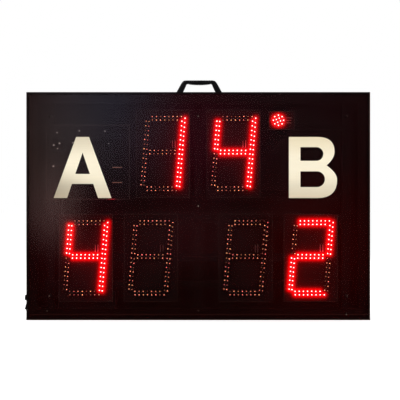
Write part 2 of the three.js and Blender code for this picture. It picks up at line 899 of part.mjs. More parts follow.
// One component of the controller board, standing on its front.
function component({ kind, x, z }) {
  const atX = controllerX + (x * controllerBoard.width) / 2;
  const atZ = controllerBoard.z + (z * controllerBoard.height) / 2;
  if (kind === "processor") {
    return block(processorLength, processorWidth, atX, atZ, boardFrontY - chipHeight, sunkTo);
  }
  if (kind === "chip") {
    return block(chipLength, chipWidth, atX, atZ, boardFrontY - chipHeight, sunkTo);
  }
  if (kind === "terminal") {
    return block(terminalLength, terminalWidth, atX, atZ, boardFrontY - terminalHeight, sunkTo);
  }
  const geometry = prism(capacitorRadius, hexSides, capacitorLength);
  geometry.rotateY(Math.PI / 2);
  geometry.translate(atX - capacitorLength / 2, boardFrontY - capacitorRadius + boardThickness / 2, atZ);
  return solidOf(geometry);
}

const supplyPlug = { x: batteryLeft + supplyLeadInset, z: controllerBoard.z + supplyPlugZ };

function addControllerBoard() {
  const { x, z } = controllerBoard;
  const plugBack = boardBackY + plugDepth;
  const lowerPlug = block(plugWidth, plugHeight, -outerDigitX, z + controllerPlugZ, sunkTo, plugBack);
  const powerPlug = block(
    supplyPlugSize,
    supplyPlugSize,
    supplyPlug.x,
    supplyPlug.z,
    sunkTo,
    boardBackY + supplyPlugDepth,
  );
  const bare = boardSolid(controllerBoard, x + controllerPlugX, topRowZ);
  piece("controller_board", join(bare, lowerPlug, powerPlug, ...controllerShares.map(component)), boardBlack);
}

// A flat cable along a line of x, z points, with mitred folds, lying behind the plugs.
function ribbon(name, points) {
  const line = points.map(([x, z]) => new THREE.Vector2(x, z));
  const normals = line.slice(1).map((point, i) => {
    const along = point.clone().sub(line[i]).normalize();
    return new THREE.Vector2(-along.y, along.x);
  });
  const offset = (side) =>
    line.map((point, i) => {
      const before = normals[Math.max(i - 1, 0)];
      const after = normals[Math.min(i, normals.length - 1)];
      const mitre = before.clone().add(after).normalize();
      return point.clone().addScaledVector(mitre, (side * ribbonWidth) / 2 / mitre.dot(before));
    });
  const outline = [...offset(1), ...offset(-1).reverse()];
  const solid = plate(new THREE.Shape(outline), ribbonFrontY, ribbonFrontY + ribbonThickness);
  piece(name, solid, ribbonBlack);
}

function addRibbons() {
  const start = controllerX + controllerPlugX - plugWidth / 2;
  const turnX = upperDigitX + digitBoardWidth / 2;
  const riseX = indicatorBoard.x;
  ribbon("ribbon_top", [
    [start, topRowZ],
    [turnX, topRowZ],
    [riseX, topRowZ + riseX - turnX],
    [riseX, indicatorBoard.z + plugHeight / 2],
  ]);
  ribbon("ribbon_bottom", [
    [-outerDigitX, controllerBoard.z + controllerPlugZ + plugHeight / 2],
    [-outerDigitX, bottomRowZ],
    [outerDigitX + plugWidth / 2, bottomRowZ],
  ]);
}

function addBattery() {
  const back = coverFrontY - profileWall - batteryBackGap;
  const front = back - batteryDepth;
  const pack = block(batteryLength, batteryHeight, batteryX, floorZ + batteryHeight / 2, front, back);
  piece("battery_pack", pack, batteryBlack);

  const inner = batteryLength / 2 + clearance;
  const outer = inner + strapThickness;
  const height = batteryHeight + clearance;
  const strap = shapeOf([
    [-outer - strapFoot, 0],
    [-inner, 0],
    [-inner, height],
    [inner, height],
    [inner, 0],
    [outer + strapFoot, 0],
    [outer + strapFoot, strapThickness],
    [outer, strapThickness],
    [outer, height + strapThickness],
    [-outer, height + strapThickness],
    [-outer, strapThickness],
    [-outer - strapFoot, strapThickness],
  ]);
  const strapY = (front + back) / 2 + strapShift;
  const band = plate(strap, strapY - strapWidth / 2, strapY + strapWidth / 2);
  piece("battery_strap", band, blackChannel).position.set(batteryX, 0, floorZ);
}

function addBuzzer() {
  const body = turned(
    [
      [0, -buzzerHeight],
      [buzzerRadius, -buzzerHeight],
      [buzzerRadius, -buzzerFlangeHeight],
      [buzzerFlangeRadius, -buzzerFlangeHeight],
      [buzzerFlangeRadius, 0],
      [buzzerMouthRadius, 0],
      [buzzerMouthRadius, -buzzerMouthDepth],
      [0, -buzzerMouthDepth],
    ],
    turnedSides,
  );
  piece("buzzer", body, blackPlastic).position.set(outerDigitX, coverFrontY, bottomRowZ);
}

// The handle's side view: sloping legs, a rounded shoulder, and a window whose top bellies down.
function handleShape() {
  const half = handleSpan / 2;
  const windowHalf = half - handleLeg;
  const windowHeight = handleHeight - handleGrip;
  const lean = (half - handleShoulderSpan / 2) / handleShoulderHeight;
  const cornerX = half - lean * handleHeight;
  const shape = new THREE.Shape();
  shape.moveTo(-half, 0);
  shape.lineTo(-windowHalf, 0);
  shape.lineTo(-handleWindowTop / 2, windowHeight);
  shape.lineTo(-handleBellySpan / 2, windowHeight - handleBelly);
  shape.lineTo(handleBellySpan / 2, windowHeight - handleBelly);
  shape.lineTo(handleWindowTop / 2, windowHeight);
  shape.lineTo(windowHalf, 0);
  shape.lineTo(half, 0);
  shape.lineTo(handleShoulderSpan / 2, handleShoulderHeight);
  shape.quadraticCurveTo(cornerX, handleHeight, handleTopFlat / 2, handleHeight);
  shape.lineTo(-handleTopFlat / 2, handleHeight);
  shape.quadraticCurveTo(-cornerX, handleHeight, -handleShoulderSpan / 2, handleShoulderHeight);
  return shape;
}

function addHandle() {
  const bores = [-1, 1].map((side) => {
    const length = handleScrewLength - profileWall + clearance;
    const geometry = prism(holeRadius(handleScrewShank), boreSides, length + overrun);
    geometry.translate(side * handleScrewX, 0, -overrun);
    return solidOf(geometry);
  });
  const body = cut(plate(handleShape(), -handleDepth / 2, handleDepth / 2), ...bores);
  piece("handle", body, blackPlastic).position.set(handleX, 0, caseHeight);

  const screw = panHead(handleScrewHead, handleScrewRise, handleScrewShank, handleScrewLength);
  for (const [name, side] of [
    ["left", -1],
    ["right", 1],
  ]) {
    const mesh = piece("handle_screw_" + name, screw, screwBlack);
    mesh.rotation.x = Math.PI / 2;
    mesh.position.set(handleX + side * handleScrewX, 0, ceilingZ);
  }
}

const housingLength = pocketLength + 2 * housingWall;
const housingWidth = pocketWidth + 2 * housingWall;
const cutoutLength = housingLength + 2 * clearance;
const cutoutWidth = housingWidth + 2 * clearance;

// Switch housing: a bezel outside the wall, a body inside it, a pocket, two holes for the rocker's
// pins and two tabs at the back. The wall's outer face is at x = 0.
function housingSolid() {
  const halfWidth = housingWidth / 2;
  const halfLength = housingLength / 2;
  const bezel = box(-bezelRise, -bezelWidth / 2, -bezelLength / 2, 0, bezelWidth / 2, bezelLength / 2);
  const body = box(-bezelRise, -halfWidth, -halfLength, housingDepth, halfWidth, halfLength);
  const pocket = box(
    -bezelRise - overrun,
    -pocketWidth / 2,
    -pocketLength / 2,
    pocketDepth - bezelRise,
    pocketWidth / 2,
    pocketLength / 2,
  );
  const pinHole = rod(
    holeRadius(rockerPinRadius),
    boreSides,
    0,
    0,
    -pocketWidth / 2 - rockerPinReach - clearance,
    pocketWidth / 2 + rockerPinReach + clearance,
  );
  const tabs = [-1, 1].map((side) =>
    box(
      housingDepth - overrun,
      -tabHeight / 2,
      (side * tabSpacing - tabThickness) / 2,
      housingDepth + tabLength,
      tabHeight / 2,
      (side * tabSpacing + tabThickness) / 2,
    ),
  );
  return join(cut(join(bezel, body), pocket, pinHole), ...tabs);
}

// Rocker: its flanks are as far out as they can be without touching the pocket at full tilt.
function rockerSolid() {
  const flank = (height) =>
    (pocketLength / 2 - clearance - Math.abs(height) * Math.sin(rockerTilt)) / Math.cos(rockerTilt);
  const half = [
    [rockerRise - rockerDip, 0],
    [rockerRise, flank(rockerRise)],
    [0, flank(0)],
    [-rockerFoot, flank(rockerFoot)],
  ];
  const outline = [...half, ...half.slice(1).reverse().map(([height, along]) => [height, -along])];
  const width = pocketWidth - 2 * clearance;
  const body = plate(shapeOf(outline.map(([height, along]) => [-height, along])), -width / 2, width / 2);
  const reach = pocketWidth / 2 + rockerPinReach;
  return join(body, rod(rockerPinRadius, boreSides, 0, 0, -reach, reach));
}

function addSwitch() {
  const group = new THREE.Group();
  group.position.set(-caseWidth / 2, switchY, switchZ);
  board.add(group);
  piece("switch_housing", housingSolid(), blackPlastic, group);
  piece("switch_rocker", rockerSolid(), blackPlastic, group).rotation.y = rockerTilt;
}

// Socket, nut and cap are turned about an axis that points out of the case's left side.
function addSocket() {
  const group = new THREE.Group();
  group.position.set(-caseWidth / 2, switchY, socketZ);
  group.rotation.z = Math.PI / 2;
  board.add(group);
  const socket = turned(
    [
      [0, -socketBarrelLength],
      [socketBarrelRadius, -socketBarrelLength],
      [socketBarrelRadius, 0],
      [socketFlangeRadius, 0],
      [socketFlangeRadius, socketFlangeRise],
      [socketBoreRadius, socketFlangeRise],
      [socketBoreRadius, socketFlangeRise - socketBoreDepth],
      [0, socketFlangeRise - socketBoreDepth],
    ],
    turnedSides,
  );
  piece("charge_socket", socket, blackPlastic, group);

  const nut = rod(nutRadius, hexSides, 0, 0, -profileWall - nutThickness, -profileWall);
  const nutBore = rod(
    holeRadius(socketBarrelRadius, turnedSides),
    turnedSides,
    0,
    0,
    -profileWall - nutThickness - overrun,
    overrun,
  );
  piece("socket_nut", cut(nut, nutBore), screwBlack, group);

  const seat = socketFlangeRise + clearance;
  const cap = turned(
    [
      [0, seat - capStubLength],
      [capStubRadius, seat - capStubLength],
      [capStubRadius, seat],
      [socketFlangeRadius, seat],
      [socketFlangeRadius, seat + capRise - capEdge],
      [socketFlangeRadius - capEdge, seat + capRise - capEdge / 4],
      [socketFlangeRadius - 2 * capEdge, seat + capRise],
      [0, seat + capRise],
    ],
    turnedSides,
  );
  piece("socket_cap", cap, rubber, group);
}

// A round lead along a route, its section carried along the curve.
function lead(name, points, steps) {
  const curve = new THREE.CatmullRomCurve3(points.map((point) => new THREE.Vector3(...point)));
  const section = shapeOf(circlePoints(leadRadius, leadSides));
  const geometry = new THREE.ExtrudeGeometry(section, { steps, bevelEnabled: false, extrudePath: curve });
  piece(name, solidOf(geometry), leadBlack);
}

function addLeads() {
  const end = batteryLeft - clearance;
  const behind = strutFrontY + strutDepth + 3 * leadRadius;
  const strutLeft = -strutX - strutWidth / 2;
  const socketEnd = -caseWidth / 2 + socketBarrelLength + clearance;
  const switchEnd = -caseWidth / 2 + housingDepth + tabLength + clearance;
  const straight = 4 * leadRadius;
  lead(
    "charge_lead",
    [
      [socketEnd, switchY, socketZ],
      [socketEnd + straight, switchY, socketZ],
      [strutLeft - straight, behind, socketZ],
      [strutLeft + straight, behind, socketZ],
      [end - straight, behind, socketZ],
      [end, behind, socketZ],
    ],
    shortLeadSteps,
  );
  lead(
    "switch_lead",
    [
      [switchEnd, switchY, switchZ],
      [switchEnd + straight, switchY, switchZ],
      [strutLeft - straight / 2, behind, switchZ],
      [strutLeft + straight, behind, switchZ],
      [end - straight, behind, switchZ],
      [end, behind, switchZ],
    ],
    shortLeadSteps,
  );
  const top = floorZ + batteryHeight + clearance;
  const plugBack = boardBackY + supplyPlugDepth + clearance;
  const run = strutFrontY + 3 * leadRadius;
  lead(
    "supply_lead",
    [
      [supplyPlug.x, behind, top],
      [supplyPlug.x, behind, top + straight],
      [supplyPlug.x, run, top + 8 * straight],
      [supplyPlug.x, run, supplyPlug.z - 4 * straight],
      [supplyPlug.x, plugBack + straight, supplyPlug.z],
      [supplyPlug.x, plugBack, supplyPlug.z],
    ],
    longLeadSteps,
  );
}

addFrame();
addCornerKeys();
addPanel();
addLetters();
addFrontScrews();
addRearCover();
addRearScrews();
addStruts();
addRails();
addDigitBoards();
addIndicatorBoard();
addControllerBoard();
addRibbons();
addBattery();
addBuzzer();
addHandle();
addSwitch();
addSocket();
addLeads();

export default board;
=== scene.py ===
import bmesh
import bpy
import numpy as np
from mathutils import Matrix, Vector
from mathutils.geometry import tessellate_polygon


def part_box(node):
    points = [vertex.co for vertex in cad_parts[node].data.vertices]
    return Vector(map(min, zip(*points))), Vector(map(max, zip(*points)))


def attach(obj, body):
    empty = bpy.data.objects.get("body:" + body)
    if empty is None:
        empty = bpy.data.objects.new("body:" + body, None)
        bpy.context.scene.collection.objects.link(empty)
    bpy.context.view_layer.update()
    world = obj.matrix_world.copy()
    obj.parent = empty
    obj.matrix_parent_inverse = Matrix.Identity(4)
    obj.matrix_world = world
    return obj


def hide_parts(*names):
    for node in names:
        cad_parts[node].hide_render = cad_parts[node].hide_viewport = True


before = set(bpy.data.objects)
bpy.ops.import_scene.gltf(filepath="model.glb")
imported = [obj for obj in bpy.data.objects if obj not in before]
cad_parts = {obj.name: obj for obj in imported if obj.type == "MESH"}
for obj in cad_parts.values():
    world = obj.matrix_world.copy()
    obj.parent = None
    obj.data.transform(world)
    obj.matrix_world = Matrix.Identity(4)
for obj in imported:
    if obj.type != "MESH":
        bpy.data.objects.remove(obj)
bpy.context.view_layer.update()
mm = 0.001
print("frame loaded:", len(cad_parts), "nodes")

# Camera straight in front of the board, and the stage round it
view = {"place": (0.0046, -3.54, 0.3145), "lens": 120.35, "sensorWidth": 36}
stageLooks = {
    "floorSize": 60.0,
    "floorColor": "#f4f4f3",
    "floorGlow": 0.46,          # added for the camera and gloss, so that the lit floor is just white
    "skyLevel": 0.6,            # plain light from all round
}
lamps = [
    {"name": "keyLamp", "place": (-1.9, -2.7, 2.3), "size": 1.6, "watts": 55},
    {"name": "fillLamp", "place": (2.3, -2.6, 1.3), "size": 1.8, "watts": 26},
    {"name": "backLamp", "place": (0.6, 2.6, 2.2), "size": 1.8, "watts": 40},
]


# An sRGB hex colour as linear RGBA
def linear(code):
    values = np.array([int(code[i:i + 2], 16) for i in (1, 3, 5)]) / 255
    flat = np.where(values <= 0.04045, values / 12.92, ((values + 0.055) / 1.055) ** 2.4)
    return (*flat.tolist(), 1.0)


# Sets the inputs of a node: a socket is linked, a node is linked by its first output, and a string is a
# hex colour
def setInputs(tree, node, inputs):
    for key, value in inputs.items():
        if isinstance(value, bpy.types.Node):
            value = value.outputs[0]
        if isinstance(value, bpy.types.NodeSocket):
            tree.links.new(value, node.inputs[key])
        else:
            node.inputs[key].default_value = linear(value) if isinstance(value, str) else value


# Adds a node with its inputs and settings
def addNode(tree, kind, inputs, **settings):
    made = tree.nodes.new("ShaderNode" + kind)
    for key, value in settings.items():
        setattr(made, key, value)
    setInputs(tree, made, inputs)
    return made


# A new material and its node tree
def newMaterial(name):
    material = bpy.data.materials.new(name)
    material.use_nodes = True
    return material, material.node_tree


# Sets the inputs of a material's one Principled shader
def setShader(material, inputs):
    tree = material.node_tree
    setInputs(tree, tree.nodes["Principled BSDF"], inputs)


def setSurface(material, color, roughness, normal, specular=0.5, metallic=0.0):
    setShader(material, {"Base Color": color, "Roughness": roughness, "Normal": normal,
                         "Specular IOR Level": specular, "Metallic": metallic})


# A new object in the scene
def addObject(name, data, place=(0, 0, 0), turn=(0, 0, 0)):
    made = bpy.data.objects.new(name, data)
    made.location, made.rotation_euler = place, turn
    bpy.context.scene.collection.objects.link(made)
    return made


# Stops of a colour ramp, each its place and its hex colour
def setStops(ramp, stops):
    while len(ramp.elements) < len(stops):
        ramp.elements.new(0.5)
    for element, (at, code) in zip(ramp.elements, stops):
        element.position, element.color = at, linear(code)


# Soft oval patches added up, each given as its middle and its reach in metres along x and z, and its
# colour. It is whole at its middle and fades out at its reach.
def patchSum(tree, patches):
    place = addNode(tree, "TexCoord", {}).outputs["Object"]
    total = (0, 0, 0)
    for (x, z), (reachX, reachZ), color in patches:
        inside = addNode(tree, "Mapping", {
            "Vector": place, "Scale": (1 / reachX, 0, 1 / reachZ), "Location": (-x / reachX, 0, -z / reachZ),
        })
        ball = addNode(tree, "TexGradient", {"Vector": inside}, gradient_type="SPHERICAL").outputs["Fac"]
        share = addNode(tree, "MapRange", {"Value": ball}, interpolation_type="SMOOTHSTEP")
        tint = addNode(tree, "VectorMath", {0: color, "Scale": share}, operation="SCALE")
        total = addNode(tree, "VectorMath", {0: tint, 1: total}, operation="ADD")
    return total


# Light that a material gives off. Wide, faint glows aren't sampled as lamps: the grain stays fine.
def setGlow(material, color, sampled=False):
    setShader(material, {"Emission Color": color, "Emission Strength": 1.0})
    if not sampled:
        material.cycles.emission_sampling = "NONE"


# The digits' red light where it lands on a board, painted as a glow: the attribute "spill" times one colour
def addSpill(material, color):
    tree = material.node_tree
    spill = addNode(tree, "Attribute", {}, attribute_name="spill").outputs["Fac"]
    setGlow(material, addNode(tree, "VectorMath", {0: color, "Scale": spill}, operation="SCALE"))


# A finish of small grains: noise turns the colour between two tones, moves the roughness a little and
# raises the surface. Grain and cloud are in millimetres, and stretch draws the grain out.
def grained(name, look):
    material, tree = newMaterial(name)
    place = addNode(tree, "TexCoord", {}).outputs["Object"]
    drawn = addNode(tree, "Mapping", {"Vector": place, "Scale": look.get("stretch", (1, 1, 1))})
    fine = addNode(tree, "TexNoise", {
        "Vector": drawn, "Scale": 1 / (look["grain"] * mm), "Detail": 3, "Roughness": 0.6,
    }).outputs["Fac"]
    coarse = addNode(tree, "TexNoise", {"Vector": place, "Scale": 1 / (look["cloud"] * mm)}).outputs["Fac"]
    mixed = addNode(tree, "Mix", {0: 0.5, 2: fine, 3: coarse})
    tone = addNode(tree, "ValToRGB", {"Fac": mixed})
    setStops(tone.color_ramp, [(0.35, look["dark"]), (0.65, look["pale"])])
    rough = addNode(tree, "MapRange", {
        "Value": mixed, "To Min": look["roughness"] - 0.06, "To Max": look["roughness"] + 0.06,
    })
    bump = addNode(tree, "Bump", {"Strength": look["bump"], "Distance": 0.1 * mm, "Height": fine})
    setSurface(material, tone, rough, bump, look.get("specular", 0.5), look.get("metallic", 0.0))
    return material


# Black anodised channel and sheet inside the case: matt, with faint lines along it
anodisedChannel = grained("anodisedChannel", {
    "dark": "#080505", "pale": "#0e0a0a", "grain": 4, "cloud": 40, "roughness": 0.7, "bump": 0.05,
    "stretch": (0.1, 1, 0.1), "specular": 0.12,
})
# Powder coat on the rear cover: a half matt orange peel, drawn twice as coarse as it is, so that it shows
powderCoat = grained("powderCoatedSheet", {
    "dark": "#0c0a0a", "pale": "#141112", "grain": 3.2, "cloud": 90, "roughness": 0.6, "bump": 0.25,
    "specular": 0.2,
})
# Moulded ABS: a spark-eroded grain that breaks up the gloss
mouldedAbs = grained("mouldedAbs", {
    "dark": "#070608", "pale": "#110f12", "grain": 1.2, "cloud": 15, "roughness": 0.4, "bump": 0.25,
    "specular": 0.14,
})
# Moulded rubber: dull, dusty in the hollows
mouldedRubber = grained("mouldedRubber", {
    "dark": "#070707", "pale": "#121110", "grain": 0.5, "cloud": 6, "roughness": 0.78, "bump": 0.3,
    "specular": 0.15,
})
# Tinned copper and solder: dulled by flux, a little pitted
tinSolder = grained("tinSolder", {
    "dark": "#b6aea0", "pale": "#dcd6c8", "grain": 0.3, "cloud": 2, "roughness": 0.25, "bump": 0.2,
    "metallic": 0.3,
})
# Solder joints painted near white, paler and duller than tin: a painted highlight, so that their domes show
solderJointGlint = grained("solderJointGlint", {
    "dark": "#f0dcd0", "pale": "#fff2e8", "grain": 0.3, "cloud": 2, "roughness": 0.4, "bump": 0.1,
})
# Copper-coloured print on the capacitors' sleeves, placed as a painted highlight along each can
sleevePrintHighlight = grained("sleevePrintHighlight", {
    "dark": "#d08a74", "pale": "#e8a48c", "grain": 0.8, "cloud": 12, "roughness": 0.5, "bump": 0.05,
})
# Epoxy chip packages: fine moulded black
chipEpoxy = grained("mouldedEpoxy", {
    "dark": "#0a0909", "pale": "#121011", "grain": 0.8, "cloud": 8, "roughness": 0.55, "bump": 0.1,
    "specular": 0.15,
})
# Shrink-wrapped battery: thin black film over cells, softly rippled
shrinkWrap = grained("shrinkWrap", {
    "dark": "#0a0a0c", "pale": "#151518", "grain": 9, "cloud": 30, "roughness": 0.4, "bump": 0.4,
    "stretch": (0.4, 1, 1), "specular": 0.2,
})
# PVC insulation of leads: an even black, half matt
leadPvc = grained("leadPvc", {
    "dark": "#0f0f0f", "pale": "#1a1a1a", "grain": 0.8, "cloud": 20, "roughness": 0.5, "bump": 0.1,
})
# Bare edge of a glass-epoxy board, routed: straw-coloured glass fibre. On the lower edge of the
# controller, a painted red glow stands for the light of the digit under it.
edgeLook = {"dark": "#3a2c28", "pale": "#54423a", "grain": 0.8, "cloud": 5, "roughness": 0.7, "bump": 0.1,
            "paintedRedGlow": [((-0.228, 0.3155), (0.016, 0.004), (1.6, 0.02, 0.06)),
                       ((-0.26, 0.3155), (0.08, 0.004), (0.12, 0.01, 0.02))]}
routedEdge = grained("glassEpoxyEdge", edgeLook)
# Painted glow: red light on the controller's lower edge
setGlow(routedEdge, patchSum(routedEdge.node_tree, edgeLook["paintedRedGlow"]))


# Black-oxide steel with a painted glint: an attribute says how much of the pale, non-metal tone is painted
# in.
oxideLook = {"dark": "#1c1916", "pale": "#3a332e", "grain": 0.5, "cloud": 2, "roughness": 0.3, "bump": 0.1,
             "bare": "#e8d8cc"}


def makeBlackOxide():
    material = grained("blackOxideSteel", oxideLook)
    tree = material.node_tree
    bare = addNode(tree, "Attribute", {}, attribute_name="bare").outputs["Fac"]
    oxide = tree.nodes["Principled BSDF"].inputs["Base Color"].links[0].from_socket
    tone = addNode(tree, "Mix", {0: bare, 6: oxide, 7: oxideLook["bare"]}, data_type="RGBA").outputs[2]
    metal = addNode(tree, "Math", {0: 1.0, 1: bare}, operation="SUBTRACT")
    setShader(material, {"Base Color": tone, "Metallic": metal})
    return material


# Black anodised aluminium, extruded: an even satin with faint lines along the bar. The front edges on
# the right and along the foot carry a painted brown highlight, and the fine line in the lower rib is a
# painted highlight, light on its groove's wall. The sheet's painted reflection lies on it too, fainter.
# Places are in millimetres.
barLook = {"dark": "#0c0605", "pale": "#130a09", "edgeHighlight": "#4a2c1c", "bare": "#5a3a36", "roughness": 0.55,
           "lineWidth": 4, "edgeHighlightRight": (447.6, 449.4), "edgeHighlightFoot": (2.4, 0.6), "edgeHighlightDepth": (-37.5, -39),
           "highlightLine": (14.0, 15.2), "highlightEnd": 443.5, "paintedReflection": 0.2}


def makeAnodisedBar():
    material, tree = newMaterial("anodisedAluminium")
    place = addNode(tree, "TexCoord", {}).outputs["Object"]
    axes = addNode(tree, "SeparateXYZ", {"Vector": place}).outputs
    drawn = addNode(tree, "Mapping", {"Vector": place, "Scale": (0.05, 1, 0.05)})
    lines = addNode(tree, "TexNoise", {
        "Vector": drawn, "Scale": 1 / (barLook["lineWidth"] * mm),
    }).outputs["Fac"]

    def between(axis, start, end):
        return addNode(tree, "MapRange", {"Value": axes[axis], "From Min": start * mm, "From Max": end * mm})

    # Painted highlight: brown light along the front edges on the right and along the foot
    right, foot = between("X", *barLook["edgeHighlightRight"]), between("Z", *barLook["edgeHighlightFoot"])
    edge = addNode(tree, "Math", {0: right, 1: foot}, operation="MAXIMUM")
    edgeHighlight = addNode(tree, "Math", {0: edge, 1: between("Y", *barLook["edgeHighlightDepth"])}, operation="MULTIPLY")
    # Painted highlight: a pale line in the lower rib's groove, the light on its wall, stopping short of the
    # corners
    low, high = barLook["highlightLine"]
    end = barLook["highlightEnd"]
    bare = 1.0
    for axis, start, finish in (("Z", low, low + 0.1), ("Z", high, high - 0.1), ("X", -end, 0.5 - end),
                                ("X", end, end - 0.5)):
        bare = addNode(tree, "Math", {0: bare, 1: between(axis, start, finish)}, operation="MULTIPLY")
    tone = barLook["dark"]
    for share, key in ((lines, "pale"), (edgeHighlight, "edgeHighlight"), (bare, "bare")):
        tone = addNode(tree, "Mix", {0: share, 6: tone, 7: barLook[key]}, data_type="RGBA").outputs[2]
    # The sheet's painted reflection, fainter on the bar
    paintedReflection = addNode(tree, "VectorMath", {0: patchSum(tree, panelLook["paintedReflection"]), "Scale": barLook["paintedReflection"]},
                   operation="SCALE")
    withReflection = addNode(tree, "VectorMath", {0: tone, 1: paintedReflection}, operation="ADD")
    bump = addNode(tree, "Bump", {"Strength": 0.05, "Distance": 0.1 * mm, "Height": lines})
    setSurface(material, withReflection, barLook["roughness"], bump, specular=0.03)
    return material


# Flat cable with grooves 2 pi * pitch apart, coarser than the real ones, so that they show
cableLook = {"dark": "#060606", "pale": "#0d0d0e", "pitch": 1.27, "roughness": 0.7}


def makeFlatCable():
    material, tree = newMaterial("flatCable")
    place = addNode(tree, "TexCoord", {}).outputs["Object"]
    ribs = addNode(tree, "TexWave", {
        "Vector": place, "Scale": 1 / (cableLook["pitch"] * mm * 20), "Distortion": 0,
    }, bands_direction="Z").outputs["Fac"]
    tone = addNode(tree, "Mix", {0: ribs, 6: cableLook["dark"], 7: cableLook["pale"]}, data_type="RGBA")
    bump = addNode(tree, "Bump", {"Strength": 0.6, "Distance": 0.3 * mm, "Height": ribs})
    setSurface(material, tone.outputs[2], cableLook["roughness"], bump, specular=0.1)
    return material


# Cast acrylic, smoked red-brown: a clear glossy sheet. Alpha is how much of the light each of its two
# faces keeps back. A painted reflection of the room lies on it as a pale haze, strongest at the upper left,
# and the scatter patches are a painted glow for the digits' light spread in the sheet.
panelLook = {
    "dark": "#1b0302", "pale": "#200404", "alpha": 0.3, "roughness": 0.09, "ior": 1.49, "cloudScale": 9,
    # Painted reflection of the room: pale patches added to the sheet's colour
    "paintedReflection": [
        ((-0.378, 0.301), (0.11, 0.173), (0.065, 0.04, 0.038)),
        ((-0.3755, 0.472), (0.1835, 0.288), (0.03, 0.024, 0.021)),
        ((-0.2445, 0.577), (0.249, 0.341), (0.016, 0.024, 0.035)),
        ((0.083, 0.68), (0.68, 0.5), (0.0056, 0.005, 0.0067)),
    ],
    # Painted glow: the digits' red light spread in the sheet, as patches
    "scatter": [
        ((0.308, 0.19), (0.27, 0.27), (0.026, 0.0, 0.0)),
        ((0.0, 0.47), (0.26, 0.22), (0.022, 0.0, 0.003)),
        ((-0.297, 0.19), (0.22, 0.22), (0.022, 0.001, 0.002)),
        ((-0.03, 0.225), (0.22, 0.15), (0.017, 0.003, 0.004)),
    ],
}


def makeSmokedAcrylic():
    material, tree = newMaterial("smokedAcrylic")
    place = addNode(tree, "TexCoord", {}).outputs["Object"]
    cloud = addNode(tree, "TexNoise", {"Vector": place, "Scale": panelLook["cloudScale"]}).outputs["Fac"]
    tone = addNode(tree, "Mix", {0: cloud, 6: panelLook["dark"], 7: panelLook["pale"]}, data_type="RGBA")
    reflectionPatchiness = addNode(tree, "MapRange", {"Value": cloud, "To Min": 0.8, "To Max": 1.2})
    # The painted reflection, made patchy by the cloud and added to the smoked tone
    paintedReflection = addNode(tree, "VectorMath", {0: patchSum(tree, panelLook["paintedReflection"]), "Scale": reflectionPatchiness},
                   operation="SCALE")
    withReflection = addNode(tree, "VectorMath", {0: tone.outputs[2], 1: paintedReflection}, operation="ADD")
    setShader(material, {"Base Color": withReflection, "IOR": panelLook["ior"],
                         "Roughness": panelLook["roughness"], "Alpha": panelLook["alpha"]})
    setGlow(material, patchSum(tree, panelLook["scatter"]))
    return material


# Satin metallic film of the letters: cream with fine brushed lines, and a painted reflection that makes it
# paler in the middle of its height. The painted shade patches, on the letter A alone, are taken off it.
filmLook = {
    "low": 319.7, "high": 479.7, "roughness": 0.4, "lineScale": 900,
    "creamReflectionTones": [(0.0, "#dccdb0"), (0.2, "#e8ddc3"), (0.33, "#f9eed2"), (0.45, "#fcf2d7"), (0.68, "#fcf1d6"),
              (0.86, "#f3e6c6"), (1.0, "#e9dbb9")],
    "shade": [((-0.395, 0.34), (0.15, 0.08), (0.42, 0.44, 0.46)),
              ((-0.32, 0.49), (0.14, 0.08), (0.17, 0.15, 0.08))],
}


def makeLetterFilm():
    material, tree = newMaterial("satinFilm")
    place = addNode(tree, "TexCoord", {}).outputs["Object"]
    height = addNode(tree, "SeparateXYZ", {"Vector": place}).outputs["Z"]
    share = addNode(tree, "MapRange", {
        "Value": height, "From Min": filmLook["low"] * mm, "From Max": filmLook["high"] * mm,
    })
    # Painted reflection: the cream is paler in the middle of the letters' height
    tone = addNode(tree, "ValToRGB", {"Fac": share})
    setStops(tone.color_ramp, filmLook["creamReflectionTones"])
    # Painted shade on the letter A
    patches = patchSum(tree, filmLook["shade"])
    shade = addNode(tree, "VectorMath", {0: (1, 1, 1), 1: patches}, operation="SUBTRACT")
    shaded = addNode(tree, "VectorMath", {0: tone, 1: shade}, operation="MULTIPLY")
    drawn = addNode(tree, "Mapping", {"Vector": place, "Scale": (0.02, 1, 1)})
    lines = addNode(tree, "TexNoise", {"Vector": drawn, "Scale": filmLook["lineScale"]}).outputs["Fac"]
    level = addNode(tree, "MapRange", {"Value": lines, "To Min": 0.95, "To Max": 1.05})
    brushed = addNode(tree, "HueSaturation", {"Color": shaded, "Value": level})
    bump = addNode(tree, "Bump", {"Strength": 0.1, "Distance": 0.05 * mm, "Height": lines})
    setSurface(material, brushed, filmLook["roughness"], bump, metallic=0.1)
    return material


# Black solder mask over a circuit board, faintly raised over its tracks
boardLook = {"dark": "#0d0505", "pale": "#120808", "trace": 12.0, "roughness": 0.6, "spillColor": "#ff0003"}


def makeSolderMask():
    material, tree = newMaterial("solderMask")
    place = addNode(tree, "TexCoord", {}).outputs["Object"]
    cells = addNode(tree, "TexVoronoi", {
        "Vector": place, "Scale": 1 / (boardLook["trace"] * mm), "Randomness": 0.15,
    }, distance="MANHATTAN").outputs["Distance"]
    tracks = addNode(tree, "MapRange", {"Value": cells, "From Min": 0.42, "From Max": 0.5})
    tone = addNode(tree, "Mix", {0: tracks, 6: boardLook["dark"], 7: boardLook["pale"]}, data_type="RGBA")
    bump = addNode(tree, "Bump", {"Strength": 0.1, "Distance": 0.05 * mm, "Height": tracks})
    setSurface(material, tone.outputs[2], boardLook["roughness"], bump, specular=0.15)
    addSpill(material, linear(boardLook["spillColor"])[:3])
    return material


